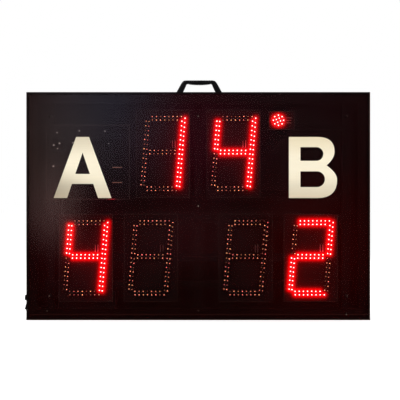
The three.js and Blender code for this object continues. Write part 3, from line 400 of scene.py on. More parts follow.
# Diode lens, clear red epoxy: dark round the side, with the pale reflector cup in its tip. On an unlit
# diode the cup carries a painted glint, a faint glow standing for the light it catches.
# Where it is lit, the tip is white-hot and the rim pure red. The attribute "tip" is nought at the dome's
# shoulder and 1 on its axis, where the pale spot is. Value and hue vary between diodes.
lensLook = {"rim": "#0d0404", "tip": "#ff8f76", "cupSpot": (0.46, 0.6), "paintedCupGlint": 4.5,
            "litRim": (2.3, 0.0, 0.0), "litTip": (5.2, 4.5, 4.3), "litSpot": (0.23, 0.32),
            "value": (0.1, 1.6), "hue": (0.48, 0.53), "roughness": 0.2, "ior": 1.53, "specular": 0.2}


def makeLens(name, lit):
    material, tree = newMaterial(name)
    tip = addNode(tree, "Attribute", {}, attribute_name="tip").outputs["Fac"]
    start, end = lensLook["litSpot" if lit else "cupSpot"]
    share = addNode(tree, "MapRange", {"Value": tip, "From Min": start, "From Max": end},
                    interpolation_type="SMOOTHSTEP")
    cup = addNode(tree, "Mix", {0: share, 6: lensLook["rim"], 7: lensLook["tip"]}, data_type="RGBA")
    place = addNode(tree, "TexCoord", {}).outputs["Object"]
    change = {}
    for key, scale, detail in (("Value", 160, 1), ("Hue", 90, 2)):
        low, high = lensLook[key.lower()]
        cloud = addNode(tree, "TexNoise", {"Vector": place, "Scale": scale, "Detail": detail}).outputs["Fac"]
        change[key] = addNode(tree, "MapRange", {
            "Value": cloud, "From Min": 0.35, "From Max": 0.65, "To Min": low, "To Max": high,
        })
    tone = addNode(tree, "HueSaturation", {"Color": cup.outputs[2], **change})
    if lit:
        glow = addNode(tree, "Mix", {0: share, 6: (*lensLook["litRim"], 1), 7: (*lensLook["litTip"], 1)},
                       data_type="RGBA").outputs[2]
    else:
        # Unlit: a painted glint, the tip's tone glowing
        level = addNode(tree, "Math", {0: share, 1: lensLook["paintedCupGlint"]}, operation="MULTIPLY")
        glow = addNode(tree, "VectorMath", {0: tone, "Scale": level}, operation="SCALE")
    setShader(material, {"Base Color": tone, "Roughness": lensLook["roughness"], "IOR": lensLook["ior"],
                         "Specular IOR Level": lensLook["specular"]})
    setGlow(material, glow, sampled=lit)
    return material


# Resistor: lacquered body with colour bands, on tinned wire. "along" runs from -1 to 1 over its length.
resistorLook = {
    "body": "#7c383c", "roughness": 0.35, "bandWidth": 0.03, "glow": (5.0, 0.1, 0.2),
    "bands": [(-0.3, "#5a2a12"), (-0.12, "#151515"), (0.08, "#8a1d12"), (0.3, "#a8862a")],
}


def makeResistorLacquer():
    material, tree = newMaterial("resistorLacquer")
    along = addNode(tree, "Attribute", {}, attribute_name="along").outputs["Fac"]
    share = addNode(tree, "MapRange", {"Value": along, "From Min": -1, "From Max": 1})
    tone = addNode(tree, "ValToRGB", {"Fac": share})
    tone.color_ramp.interpolation = "CONSTANT"
    body = resistorLook["body"]
    stops = [(0, body)]
    for at, code in resistorLook["bands"]:
        stops += [((at + 1) / 2, code), ((at + 1) / 2 + resistorLook["bandWidth"], body)]
    setStops(tone.color_ramp, [*stops, (1, body)])
    setShader(material, {"Base Color": tone, "Roughness": resistorLook["roughness"]})
    return material


blackOxide = makeBlackOxide()
anodisedBar = makeAnodisedBar()
flatCable = makeFlatCable()
smokedAcrylic = makeSmokedAcrylic()
letterFilm = makeLetterFilm()
solderMask = makeSolderMask()
darkLens = makeLens("diodeLens", False)
litLens = makeLens("litDiodeLens", True)
resistorLacquer = makeResistorLacquer()
# A painted glow of the digits' red light on the resistors and tinned parts
for material in (resistorLacquer, tinSolder):
    addSpill(material, resistorLook["glow"])
print("materials made")


# Points from x, y and z, each an array or a single number
def pointsAt(x, y, z):
    return np.stack(np.broadcast_arrays(x, y, z), -1)


# Quads of a grid of points, row after row; the last column joins the first, and in a closed grid the
# last row joins the first too
def gridQuads(rows, columns, closed=False):
    row, column = np.meshgrid(np.arange(rows if closed else rows - 1), np.arange(columns), indexing="ij")
    here, below, after = row * columns, (row + 1) % rows * columns, (column + 1) % columns
    return np.stack([here + column, here + after, below + after, below + column], -1).reshape(-1, 4)


# A closed surface through rings of points: P(row, column), with a flat cap on the first and last ring
def loft(points, **values):
    rows, columns = points.shape[:2]
    caps = np.stack([np.arange(columns)[::-1], np.arange(columns) + (rows - 1) * columns])
    shape = {"points": points.reshape(-1, 3), "faces": [gridQuads(rows, columns), caps]}
    shape["values"] = {key: np.broadcast_to(np.asarray(value, float)[:, None], (rows, columns)).ravel()
                       for key, value in values.items()}
    return shape


# Unit vectors all round an axis: cos(angle) * u + sin(angle) * v
def ringAbout(axis, angle):
    u = np.roll(axis, 1)
    v = np.cross(axis, u)
    return np.cos(angle)[:, None] * u + np.sin(angle)[:, None] * v


# A body turned about an axis: each point of the profile is (radius, height), and
# P(row, angle) = place + radius * ring(angle) + height * axis
def turned(profile, place, axis, sides=24, **values):
    profile, axis = np.array(profile, float), np.array(axis, float)
    ring = ringAbout(axis, np.arange(sides) * 2 * np.pi / sides)
    points = profile[:, 0, None, None] * ring + profile[:, 1, None, None] * axis + np.array(place, float)
    return loft(points, **values)


# A rounded rectangle as four quarter circles, anticlockwise; its sizes may be columns of numbers
def roundedOutline(halfWidth, halfHeight, corner, steps):
    quarter = np.linspace(0, np.pi / 2, steps)
    angle = np.concatenate([quarter + k * np.pi / 2 for k in range(4)])
    signX = np.repeat([1, -1, -1, 1], steps)
    signZ = np.repeat([1, 1, -1, -1], steps)
    return (signX * (halfWidth - corner) + corner * np.cos(angle),
            signZ * (halfHeight - corner) + corner * np.sin(angle))


# A block with rounded edges: the rounded rectangle carried along one axis. Within "edge" of an end it
# is drawn in by edge * (1 - sin t) at the depth edge * (1 - cos t)
def roundedBlock(low, high, corner, edge, axis=1, steps=4):
    low, high = np.array(low, float), np.array(high, float)
    half = (high - low) / 2
    a, b = (k for k in range(3) if k != axis)
    bend = np.linspace(0, np.pi / 2, 3)
    inset = edge * (1 - np.sin(bend))
    depth = edge * (1 - np.cos(bend))
    insets = np.concatenate([inset, inset[::-1]])[:, None]
    outline = roundedOutline(half[a] - insets, half[b] - insets, np.maximum(corner - insets, 0.05), steps)
    points = np.zeros((*outline[0].shape, 3))
    points[..., a], points[..., b] = outline
    points[..., axis] = np.concatenate([depth - half[axis], half[axis] - depth[::-1]])[:, None]
    return loft(points + (low + high) / 2)


# A rounded block that stands on a board: its middle x and z, its width and height, and its ends in y
def blockAt(x, z, width, height, front, back, corner, edge):
    return roundedBlock((x - width / 2, front, z - height / 2), (x + width / 2, back, z + height / 2),
                        corner, edge)


# The same shape at every place of a list
def repeated(shape, places):
    places = np.array(places, float)
    count = len(shape["points"])
    start = np.arange(len(places)) * count
    return {
        "points": (shape["points"][None] + places[:, None]).reshape(-1, 3),
        "faces": [(f[None] + start[:, None, None]).reshape(-1, f.shape[1]) for f in shape["faces"]],
        "values": {key: np.tile(value, len(places)) for key, value in shape["values"].items()},
    }


# One object from shapes in millimetres, each with its material. It stands for a node of the frame.
def makePiece(name, parts, node, body="case", sharp=40):
    materials = list(dict.fromkeys(material for _, material in parts))
    faces, indices, start = [], [], 0
    for shape, material in parts:
        for block in shape["faces"]:
            faces += (block + start).tolist()
            indices += [materials.index(material)] * len(block)
        start += len(shape["points"])
    mesh = bpy.data.meshes.new(name)
    mesh.from_pydata((np.concatenate([shape["points"] for shape, _ in parts]) * mm).tolist(), [], faces)
    for material in materials:
        mesh.materials.append(material)
    mesh.polygons.foreach_set("material_index", indices)
    mesh.polygons.foreach_set("use_smooth", [True] * len(faces))
    for key in sorted({key for shape, _ in parts for key in shape["values"]}):
        values = [shape["values"].get(key, np.zeros(len(shape["points"]))) for shape, _ in parts]
        mesh.attributes.new(key, "FLOAT", "POINT").data.foreach_set("value", np.concatenate(values))
    whole = bmesh.new()
    whole.from_mesh(mesh)
    bmesh.ops.recalc_face_normals(whole, faces=whole.faces)
    whole.to_mesh(mesh)
    whole.free()
    mesh.set_sharp_from_angle(angle=np.radians(sharp))
    mesh.update()
    piece = addObject(name, mesh)
    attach(piece, body)
    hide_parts(node)
    return piece


# Lowest corner, highest corner and middle of a node in millimetres
def boxOf(node):
    low, high = (np.array(corner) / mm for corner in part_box(node))
    return low, high, (low + high) / 2


frontAxis = (0, -1, 0)
boardFront = -23.75      # face of the circuit boards, in y
boardBack = -22.15
panelFront = -37.75

# Digits: which segments are lit, and each line of diodes as shares of the digit's halves
digits = {
    "halfWidth": 50.7, "halfHeight": 97, "slant": 0.081,
    "shown": {"top_left": "bc", "top_right": "bcfg", "bottom_first": "bcfg",
              "bottom_second": "", "bottom_third": "", "bottom_fourth": "abdeg"},
    "segments": "aabbccddeeffgg",
    "lines": [
        (-0.704, 1, 0.801, 1, 8), (-0.692, 0.905, 0.598, 0.905, 7),
        (1, 0.954, 1, 0.103, 8), (0.848, 0.875, 0.848, 0.116, 7),
        (1, -0.027, 1, -0.892, 8), (0.848, -0.013, 0.848, -0.875, 8),
        (-0.679, -0.905, 0.611, -0.905, 7), (-0.657, -1, 0.848, -1, 8),
        (-1, -0.005, -1, -0.843, 8), (-0.848, -0.027, -0.848, -0.857, 8),
        (-1, 0.875, -1, 0.13, 7), (-0.848, 0.865, -0.848, 0.116, 7),
        (-0.679, 0.0835, 0.613, 0.0835, 7), (-0.679, -0.008, 0.613, -0.008, 7),
    ],
    "resistorX": 28.4, "resistorZ": 25, "resistorPitch": 7, "resistorLength": 20,
}
# How the light of one lit diode falls off over the board, in millimetres; "foot" and "fade" are its level
# at the foot of the case and how much less it is per millimetre up
spillLook = {"near": 1.85, "nearReach": 7.1, "far": 1.1, "farReach": 4.2, "step": 2.4, "foot": 1.12,
             "fade": 0.0006}
diodeProfile = [(2.9, 0), (2.9, 1.0), (2.5, 1.05), (2.5, 6.0), (2.1, 7.5), (1.3, 8.3), (0.6, 8.5)]
diodeTip = [max(0, 1 - radius / 2.1) for radius, _ in diodeProfile]


# Places in a digit: z = halfHeight * shareZ, x = halfWidth * shareX + slant * z
def inDigit(middle, shareX, shareZ):
    z = digits["halfHeight"] * shareZ
    x = digits["halfWidth"] * shareX + digits["slant"] * z
    return np.stack([x + middle[0], z + middle[1]], -1)


def diodePlaces(middle, segments):
    found = [np.zeros((0, 2))]
    for segment, (fromX, fromZ, toX, toZ, count) in zip(digits["segments"], digits["lines"]):
        if segment in segments:
            share = np.linspace(0, 1, count)
            found.append(inDigit(middle, fromX + share * (toX - fromX), fromZ + share * (toZ - fromZ)))
    return np.concatenate(found)


# Plated holes half way between the two lines of each segment and between one diode and the next
def holePlaces(middle):
    found = []
    for segment in "abcdefg":
        ends = [np.array(line) for name, line in zip(digits["segments"], digits["lines"]) if name == segment]
        count = int(min(line[4] for line in ends)) - 1
        share = (np.arange(count) + 0.5)[:, None]
        lines = [line[:2] + share / (line[4] - 1) * (line[2:4] - line[:2]) for line in ends]
        found.append(inDigit(middle, *((lines[0] + lines[1]) / 2).T))
    return np.concatenate(found)


# Light that lands at x, z: the sum over the lit diodes of near * exp(-(r / nearReach)^2)
# + far / (1 + (r / farReach)^2)^1.5, times foot - fade * z
def spillAt(x, z, lit):
    distance = np.hypot(x[..., None] - lit[:, 0], z[..., None] - lit[:, 1])
    near = spillLook["near"] * np.exp(-(distance / spillLook["nearReach"]) ** 2)
    far = spillLook["far"] / (1 + (distance / spillLook["farReach"]) ** 2) ** 1.5
    return (near + far).sum(-1) * (spillLook["foot"] - spillLook["fade"] * z)


# A board as one closed slab: its front is a grid of x, z points with the light on each, and the
# grid's outline is carried back to the flat rear
def boardSlab(low, high, lit):
    x, z = np.meshgrid(*(np.linspace(low[k], high[k], int((high[k] - low[k]) / spillLook["step"]) + 2)
                         for k in (0, 2)))
    number = np.arange(x.size).reshape(x.shape)
    quads = np.stack([number[:-1, :-1], number[:-1, 1:], number[1:, 1:], number[1:, :-1]], -1).reshape(-1, 4)
    outline = np.concatenate([number[0, :-1], number[:-1, -1], number[-1, :0:-1], number[:0:-1, 0]])
    rear = x.size + np.arange(len(outline))
    walls = np.stack([outline, rear, np.roll(rear, -1), np.roll(outline, -1)], -1)
    front = pointsAt(x, boardFront, z).reshape(-1, 3)
    points = np.concatenate([front, front[outline] + (0, boardBack - boardFront, 0)])
    light = np.concatenate([spillAt(x, z, lit).ravel(), np.zeros(len(outline))])
    return {"points": points, "faces": [quads, walls, rear[None, ::-1]], "values": {"spill": light}}


# A board: its slab, and its routed edge as a rim that stands 0.05 mm proud of the front
def boardShapes(low, high, lit, rim=0.7):
    half, middle = (high - low) / 2, (low + high) / 2
    outer = roundedOutline(half[0], half[2], 0.1, 3)
    inner = roundedOutline(half[0] - rim, half[2] - rim, 0.1, 3)
    rings = np.stack([pointsAt(x + middle[0], boardFront + y, z + middle[2])
                      for (x, z), y in ((outer, 0.3), (outer, -0.05), (inner, -0.05), (inner, 0.3))])
    edge = {"points": rings.reshape(-1, 3), "faces": [gridQuads(*rings.shape[:2], closed=True)], "values": {}}
    return [(boardSlab(low, high, lit), solderMask), (edge, routedEdge)]


# Resistors at a list of places, along an axis: a lacquered body with a fuller cap at each end, and a
# tinned wire through it. Both stand up into the diodes' light.
def resistors(length, axis, places, lit):
    half = length / 2 - 3
    profile = [(0.3, -half), (0.8, -half + 0.2), (1.05, -half + 0.7), (1.05, -half + 1.6), (0.85, -half + 2),
               (0.85, half - 2), (1.05, half - 1.6), (1.05, half - 0.7), (0.8, half - 0.2), (0.3, half)]
    body = turned(profile, (0, 0, 0), axis, sides=8, along=np.array(profile)[:, 1] / half)
    wire = turned([(0.3, -length / 2), (0.3, length / 2)], (0, 0, 0), axis, sides=6)
    parts = [(repeated(body, places), resistorLacquer), (repeated(wire, places), tinSolder)]
    for shape, _ in parts:
        shape["values"]["spill"] = spillAt(shape["points"][:, 0], shape["points"][:, 2], lit)
    return parts


diode = turned(diodeProfile, (0, boardFront, 0), frontAxis, sides=8, tip=diodeTip)
platedHole = turned([(0.8, 0.05), (0.75, -0.15), (0.4, -0.2)], (0, boardFront, 0), (0, 1, 0), sides=8)
resistorY = boardFront - 1.25


# A shape of the board's front at each x, z
def onBoard(shape, x, z):
    return repeated(shape, pointsAt(x, 0, z))


def plugShape(x, z):
    return blockAt(x, z, 20, 30, boardBack - 0.3, boardBack + 3.5, 0.6, 0.3)


def makeDigitBoard(name, shown):
    node = "digit_board_" + name
    low, high, (x, _, z) = boxOf(node)
    lit = diodePlaces((x, z), shown)
    dark = diodePlaces((x, z), set("abcdefg") - set(shown))
    parts = boardShapes(low, high, lit)
    parts.append((onBoard(diode, *dark.T), darkLens))
    if len(lit):
        parts.append((onBoard(diode, *lit.T), litLens))
    columns = x + digits["resistorX"] + digits["resistorPitch"] * np.array([-0.5, 0.5])
    places = pointsAt(columns, resistorY, z + digits["resistorZ"])
    parts += resistors(digits["resistorLength"], (0, 0, 1), places, lit)
    parts += [(onBoard(platedHole, *holePlaces((x, z)).T), tinSolder), (plugShape(x, z), chipEpoxy)]
    makePiece("digitBoard_" + name, parts, node)


for boardName, shown in digits["shown"].items():
    makeDigitBoard(boardName, shown)
print("digit boards made")

# Round indicator: two rings of lit diodes, and three resistors beside them
indicator = {"rings": [(13.4, 8, 0), (5.75, 4, 70)], "shift": -9.2, "resistorX": 19.6, "resistorPitch": 6.5,
             "resistorLength": 13}


def makeIndicator():
    low, high, (x, _, z) = boxOf("indicator_board")
    rings = []
    for radius, count, start in indicator["rings"]:
        angle = np.radians(start) + np.arange(count) * 2 * np.pi / count
        rings.append(np.stack([radius * np.cos(angle) + indicator["shift"], radius * np.sin(angle)], -1))
    lit = np.concatenate(rings) + (x, z)
    rows = z + indicator["resistorPitch"] * np.array([-1, 0, 1])
    parts = boardShapes(low, high, lit)
    parts.append((onBoard(diode, *lit.T), litLens))
    parts += resistors(indicator["resistorLength"], (1, 0, 0),
                       pointsAt(x + indicator["resistorX"], resistorY, rows), lit)
    parts.append((plugShape(x, z), chipEpoxy))
    makePiece("indicatorBoard", parts, "indicator_board")


makeIndicator()

# Controller board: packages and parts as shares of the board's halves, and solder joints as
# millimetres from its middle and their size
controller = {
    "chips": [(-0.1, 0.05, 52, 14, 4, 20), (-0.68, 0.62, 34, 9, 4, 12), (-0.68, 0.3, 34, 9, 4, 12),
              (-0.68, -0.02, 34, 9, 4, 12), (0.1, 0.62, 34, 9, 4, 12)],
    "terminals": [(0.65, 0.7), (-0.6, -0.72)],
    "terminalSize": (30, 10, 9),
    "capacitors": [(0.706, -0.145), (0.706, -0.549)],
    "can": [(3.2, -13), (3.8, -12.6), (4, -12), (4, -10.4), (3.6, -10), (4, -9.6), (4, 12), (3.7, 12.7),
            (2.6, 13)],
    "joints": [(-22.8, 82, 0.9), (44.8, 81.2, 1), (-81.2, 77.5, 1), (-74.7, 49.2, 1.4), (-89.9, 44.5, 1.45),
               (-79.9, 35.8, 1.1), (54.5, 48.9, 0.7), (-90.7, -10.8, 1.5), (-39.6, 51, 1.4)],
    "plug": (45, 22.3), "lowerPlug": (-5.5, -65), "supplyPlug": (-70, -54),
}


def makeController():
    low, high, middle = boxOf("controller_board")
    middle, half = middle[[0, 2]], ((high - low) / 2)[[0, 2]]
    parts = boardShapes(low, high, np.zeros((0, 2)), rim=1.2)
    leg = roundedBlock((-0.3, boardFront - 2, -0.4), (0.3, boardFront + 0.3, 0.4), 0.1, 0.05, steps=2)
    for shareX, shareZ, length, width, height, pins in controller["chips"]:
        x, z = middle + half * (shareX, shareZ)
        chip = blockAt(x, z, length, width, boardFront - height, boardFront - 0.6, 0.5, 0.3)
        legs = onBoard(leg, x + np.tile(np.linspace(-0.45, 0.45, pins), 2) * length,
                       z + np.repeat([-1, 1], pins) * (width / 2 + 0.4))
        parts += [(chip, chipEpoxy), (legs, routedEdge)]
    length, width, height = controller["terminalSize"]
    head = turned([(1.9, 0), (1.9, 0.4), (1.5, 0.6), (0.4, 0.6)], (0, boardFront - height, 0), frontAxis, 12)
    for share in controller["terminals"]:
        x, z = middle + half * share
        block = blockAt(x, z, length, width, boardFront - height, boardFront + 0.3, 0.6, 0.5)
        heads = onBoard(head, x + np.linspace(-0.36, 0.36, 5) * length, z)
        parts += [(block, chipEpoxy), (heads, chipEpoxy)]
    for share in controller["capacitors"]:
        x, z = middle + half * share
        can = turned(controller["can"], (x, boardFront - 3.3, z), (1, 0, 0), 24)
        # Painted highlight: a print stripe along the can's front, for the lamp's highlight line
        stripe = blockAt(x, z, 25, 1.5, boardFront - 7.36, boardFront - 6.9, 0.3, 0.1)
        parts += [(can, chipEpoxy), (stripe, sleevePrintHighlight)]
    # Solder joints: near-white domes, a painted highlight in place of their glints
    for x, z, size in controller["joints"]:
        dome = np.array([(1.7, 0.2), (1.65, 0.1), (1.3, -0.8), (0.5, -1.3)]) * size
        place = (middle[0] + x, boardFront, middle[1] + z)
        parts.append((turned(dome, place, (0, 1, 0), 12), solderJointGlint))
    parts += [(plugShape(*(middle + controller[key])), chipEpoxy) for key in ("plug", "lowerPlug")]
    x, z = middle + controller["supplyPlug"]
    parts.append((blockAt(x, z, 10, 10, boardBack - 0.3, boardBack + 8, 0.5, 0.3), chipEpoxy))
    makePiece("controllerBoard", parts, "controller_board")


makeController()
print("indicator and controller made")

# Letter B, from the foot of the stem: two bowls, and two counters with round ends
letterB = {"width": 126.2, "height": 160, "stem": 30.3, "straight": 0.587, "lowerBowl": 0.295,
           "waist": (0.782, 0.534), "upperRight": 0.948, "upperBowl": 0.76,
           "counters": [(0.179, 0.436, 0.748), (0.609, 0.8325, 0.715)]}
letterA = {"width": 151.3, "height": 160, "top": 33.6, "foot": 35, "apex": 118.8, "bar": (37, 63)}


# A quadratic curve from a to c, drawn towards b: (1-t)^2 a + 2t(1-t) b + t^2 c
def quadratic(a, b, c, count=14):
    t = np.linspace(0, 1, count)[1:, None]
    return (1 - t) ** 2 * np.array(a) + 2 * t * (1 - t) * np.array(b) + t ** 2 * np.array(c)


def outlineB():
    look = letterB
    size = np.array([look["width"], look["height"]])
    straight, upper = look["straight"], look["upperRight"]
    waist = np.array(look["waist"])
    lower = (1, look["lowerBowl"])
    high = (upper, look["upperBowl"])
    outline = np.concatenate([
        [(0, 0), (straight, 0)],
        quadratic((straight, 0), (1, 0), lower),
        quadratic(lower, (1, (waist[1] + lower[1]) / 2), waist),
        quadratic(waist, (upper, (waist[1] + high[1]) / 2), high),
        quadratic(high, (upper, 1), (straight, 1)),
        [(0, 1)],
    ]) * size
    loops = [outline]
    for low, top, right in look["counters"]:
        turn = (top - low) / 2 * look["height"]
        middle = (right * look["width"] - turn, (low + top) / 2 * look["height"])
        angle = np.linspace(np.pi / 2, -np.pi / 2, 20)
        bowl = np.stack([middle[0] + turn * np.cos(angle), middle[1] + turn * np.sin(angle)], -1)
        loops.append(np.concatenate([[(look["stem"], top * look["height"])], bowl,
                                     [(look["stem"], low * look["height"])]]))
    return loops


def outlineA():
    look = letterA
    outer, low, high = look["width"] / 2, *look["bar"]
    inner = lambda z: (outer - look["foot"]) * (1 - z / look["apex"])
    outline = [(-outer, 0), (-inner(0), 0), (-inner(low), low), (inner(low), low), (inner(0), 0), (outer, 0),
               (look["top"] / 2, look["height"]), (-look["top"] / 2, look["height"])]
    counter = [(-inner(high), high), (0, look["apex"]), (inner(high), high)]
    return [np.array(loop, float) + (outer, 0) for loop in (outline, counter)]


# A flat sheet from an outline and its holes: the outline filled front and back, and a wall round each loop
def flatSheet(loops, corner, front, back):
    x, z = (np.concatenate(loops) + corner).T
    count = len(x)
    filled = np.array(tessellate_polygon([[Vector((*point, 0)) for point in loop] for loop in loops]))
    points = np.concatenate([pointsAt(x, y, z) for y in (front, back)])
    walls, start = [], 0
    for loop in loops:
        here = start + np.arange(len(loop))
        after = np.roll(here, -1)
        walls.append(np.stack([here, after, after + count, here + count], -1))
        start += len(loop)
    return {"points": points, "faces": [filled, filled[:, ::-1] + count, *walls], "values": {}}


for node, loops in (("letter_a", outlineA()), ("letter_b", outlineB())):
    low, high, _ = boxOf(node)
    sheet = flatSheet(loops, (low[0], low[2]), low[1], high[1])
    letter = makePiece("teamLetter" + node[-1].upper(), [(sheet, letterFilm)], node)
    edge = letter.modifiers.new("cutEdge", "BEVEL")
    edge.width = 0.12 * mm
    edge.segments = 1
    edge.limit_method = "ANGLE"
print("letters made")

# Screws: a domed head with a cross recess, and a plain shank behind it. Per screw, how strongly its
# recess is painted pale: a painted glint that stands in for the lamps' glint on the head.
screws = {
    "paintedGlintStrength": {"panel_screw_centre": 1.0, "panel_screw_top_centre": 0.55, "panel_screw_bottom_left": 0.6,
             "panel_screw_bottom_right": 0.15, "panel_screw_top_right": 0.3, "lower_screw_right": 0.55,
             "lower_screw_centre": 0.15},
    "panel": {"radius": 2.5, "rise": 1.6, "shank": 1.5, "length": 12},
    "rear": {"radius": 3.2, "rise": 0, "shank": 1.5, "length": 10},
    "handle": {"radius": 4.5, "rise": 3, "shank": 2.5, "length": 12},
}


# Head of a screw on a polar grid: height = rise * (1 - 0.7 r^2) less the cross, whose two slots fade out
# at 0.6 of the radius; then down the side and along the shank. The painted glint lies round the cross,
# as strong as the screw's given level.
def screwShape(look, place, axis, paintedGlintStrength):
    radius, rise, sides = look["radius"], look["rise"], 32
    share = np.array([0.06, 0.18, 0.3, 0.42, 0.54, 0.64, 0.78, 0.9, 1.0])[:, None]
    angle = np.arange(sides) * 2 * np.pi / sides
    across, along = share * np.cos(angle), share * np.sin(angle)
    slotWidth, slotEnd = 0.16, 0.6
    slots = [np.clip((slotWidth - abs(a)) / 0.07 + 0.5, 0, 1) * np.clip((slotEnd - abs(b)) / 0.1 + 0.5, 0, 1)
             for a, b in ((across, along), (along, across))]
    top = rise * (1 - 0.7 * share ** 2) - 0.45 * radius * np.maximum(*slots)
    side = [(radius, 0), (look["shank"], 0)] if rise else [(look["shank"], -1.6)]
    radii, heights = (np.repeat(column[:, None], sides, 1)
                      for column in np.array([*side, (look["shank"], -look["length"])], float).T)
    radii = np.concatenate([np.broadcast_to(share * radius, top.shape), radii])
    axis = np.array(axis, float)
    points = radii[..., None] * ringAbout(axis, angle) + np.concatenate([top, heights])[..., None] * axis
    screw = loft(points + np.array(place, float))
    screw["values"]["bare"] = np.where(radii < 0.36 * radius, paintedGlintStrength, 0.0).ravel()
    return screw


for node in sorted(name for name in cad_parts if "_screw" in name):
    low, high, (x, y, z) = boxOf(node)
    if node.startswith("handle"):
        look, axis, seat = screws["handle"], (0, 0, -1), (x, y, low[2] + screws["handle"]["rise"])
    elif node.startswith("rear"):
        look, axis, seat = screws["rear"], (0, 1, 0), (x, high[1], z)
    else:
        look, axis, seat = screws["panel"], frontAxis, (x, panelFront, z)
    shape = screwShape(look, seat, axis, screws["paintedGlintStrength"].get(node, 0))
    makePiece("screw_" + node, [(shape, blackOxide)], node)
print("screws made")

# Bridge handle: stations along the arch, each the outer and the inner edge (x from its middle, height)
handle = {
    "outer": [(-61.4, 0), (-59.1, 4.3), (-56.3, 9.5), (-52, 17.5), (-49.3, 22.2), (-46.4, 27), (-42.6, 31.2),
              (-37.4, 33.5), (-24, 33.8), (0, 33.8)],
    "inner": [(-43.9, 0), (-41.9, 4.3), (-39.3, 9.5), (-35.6, 17.5), (-34.3, 20.7), (-33.2, 22.9),
              (-31.6, 24), (-28.5, 23.9), (-20, 22.4), (0, 21.6)],
    "top": 33.8, "depth": 22, "squareness": 5, "steps": 5, "sides": 28,
}


# A smooth curve through points: the cubic through each four neighbours (Catmull-Rom)
def smoothCurve(points, steps):
    points = np.array(points, float)
    p = np.concatenate([[2 * points[0] - points[1]], points, [2 * points[-1] - points[-2]]])
    t = (np.arange(steps) / steps)[None, :, None]
    a, b, c, d = (p[k:len(p) - 3 + k, None] for k in range(4))
    curve = 0.5 * (2 * b + (c - a) * t + (2 * a - 5 * b + 4 * c - d) * t ** 2
                   + (3 * b - a - 3 * c + d) * t ** 3)
    return np.concatenate([curve.reshape(-1, points.shape[1]), points[-1:]])


# The handle's section between its inner and outer edge is a squared oval:
# P(u, v) = middle(u) + c(v) * half(u) + s(v) * depth / 2, with c and s the powers 2 / squareness
# of cos v and sin v
def makeHandle():
    low, _, middle = boxOf("handle")
    outer, inner = (smoothCurve(np.concatenate([left, left[-2::-1] * (-1, 1)]), handle["steps"])
                    for left in (np.array(handle[key], float) for key in ("outer", "inner")))
    outer[:, 1] = np.minimum(outer[:, 1], handle["top"])
    angle = np.arange(handle["sides"]) * 2 * np.pi / handle["sides"]
    power = 2 / handle["squareness"]
    c, s = (np.sign(wave) * abs(wave) ** power for wave in (np.cos(angle), np.sin(angle)))
    centre, half = (outer + inner) / 2, (outer - inner) / 2
    flat = centre[:, None] + half[:, None] * c[None, :, None] + (middle[0], low[2])
    points = pointsAt(flat[..., 0], s * handle["depth"] / 2, flat[..., 1])
    makePiece("carryHandle", [(loft(points), mouldedAbs)], "handle", sharp=60)


makeHandle()

# Switch: "foot" is how far the rocker reaches below its hinge, "gap" is between its sides and the
# pocket, and the two terminals are given as where they start, how far from the middle, width and
# thickness. The wall's outer face is at x = -450.
switch = {"y": -24, "z": 33.2, "bezel": (19, 13.5), "pocket": (14.6, 8.6), "pocketDepth": 10, "bezelRise": 2,
          "wall": 1.2, "depth": 16, "rise": 5, "dip": 1, "foot": 4, "tilt": 13, "pin": (1.2, 4.8),
          "gap": 0.35, "edge": 0.35, "terminals": (15, 3.5, 4.8, 0.8)}
wallFace = -450.0


# Bezel and pocket as one ring of rounded rectangles, each at its own depth: from the pocket's floor, out
# over the bezel, and back along the body
def makeSwitch():
    _, high, _ = boxOf("switch_housing")
    at = np.array([wallFace, switch["y"], switch["z"]])
    pocketL, pocketW = (s / 2 for s in switch["pocket"])
    bezelL, bezelW = (s / 2 for s in switch["bezel"])
    bodyL, bodyW = pocketL + switch["wall"], pocketW + switch["wall"]
    rise = switch["bezelRise"]
    rings = [(pocketW, pocketL, 0.4, switch["pocketDepth"] - rise), (pocketW, pocketL, 0.4, -rise + 0.5),
             (pocketW + 0.3, pocketL + 0.3, 0.6, -rise), (bezelW - 0.9, bezelL - 0.9, 1.2, -rise),
             (bezelW - 0.25, bezelL - 0.25, 1.6, -rise + 0.3), (bezelW, bezelL, 1.8, -rise + 0.9),
             (bezelW, bezelL, 1.8, -0.02), (bodyW, bodyL, 0.5, -0.02), (bodyW, bodyL, 0.5, switch["depth"])]
    points = [pointsAt(x, *roundedOutline(halfW, halfL, corner, 5)) for halfW, halfL, corner, x in rings]
    parts = [(loft(np.array(points) + at), mouldedAbs)]
    start, spread, width, thick = switch["terminals"]
    for side in (-1, 1):
        low = at + (start, -width / 2, side * spread - thick / 2)
        parts.append((roundedBlock(low, (high[0], *(low[1:] + (width, thick))), 0.2, 0.15), tinSolder))
    makePiece("switchHousing", parts, "switch_housing")
    makeRocker(at)


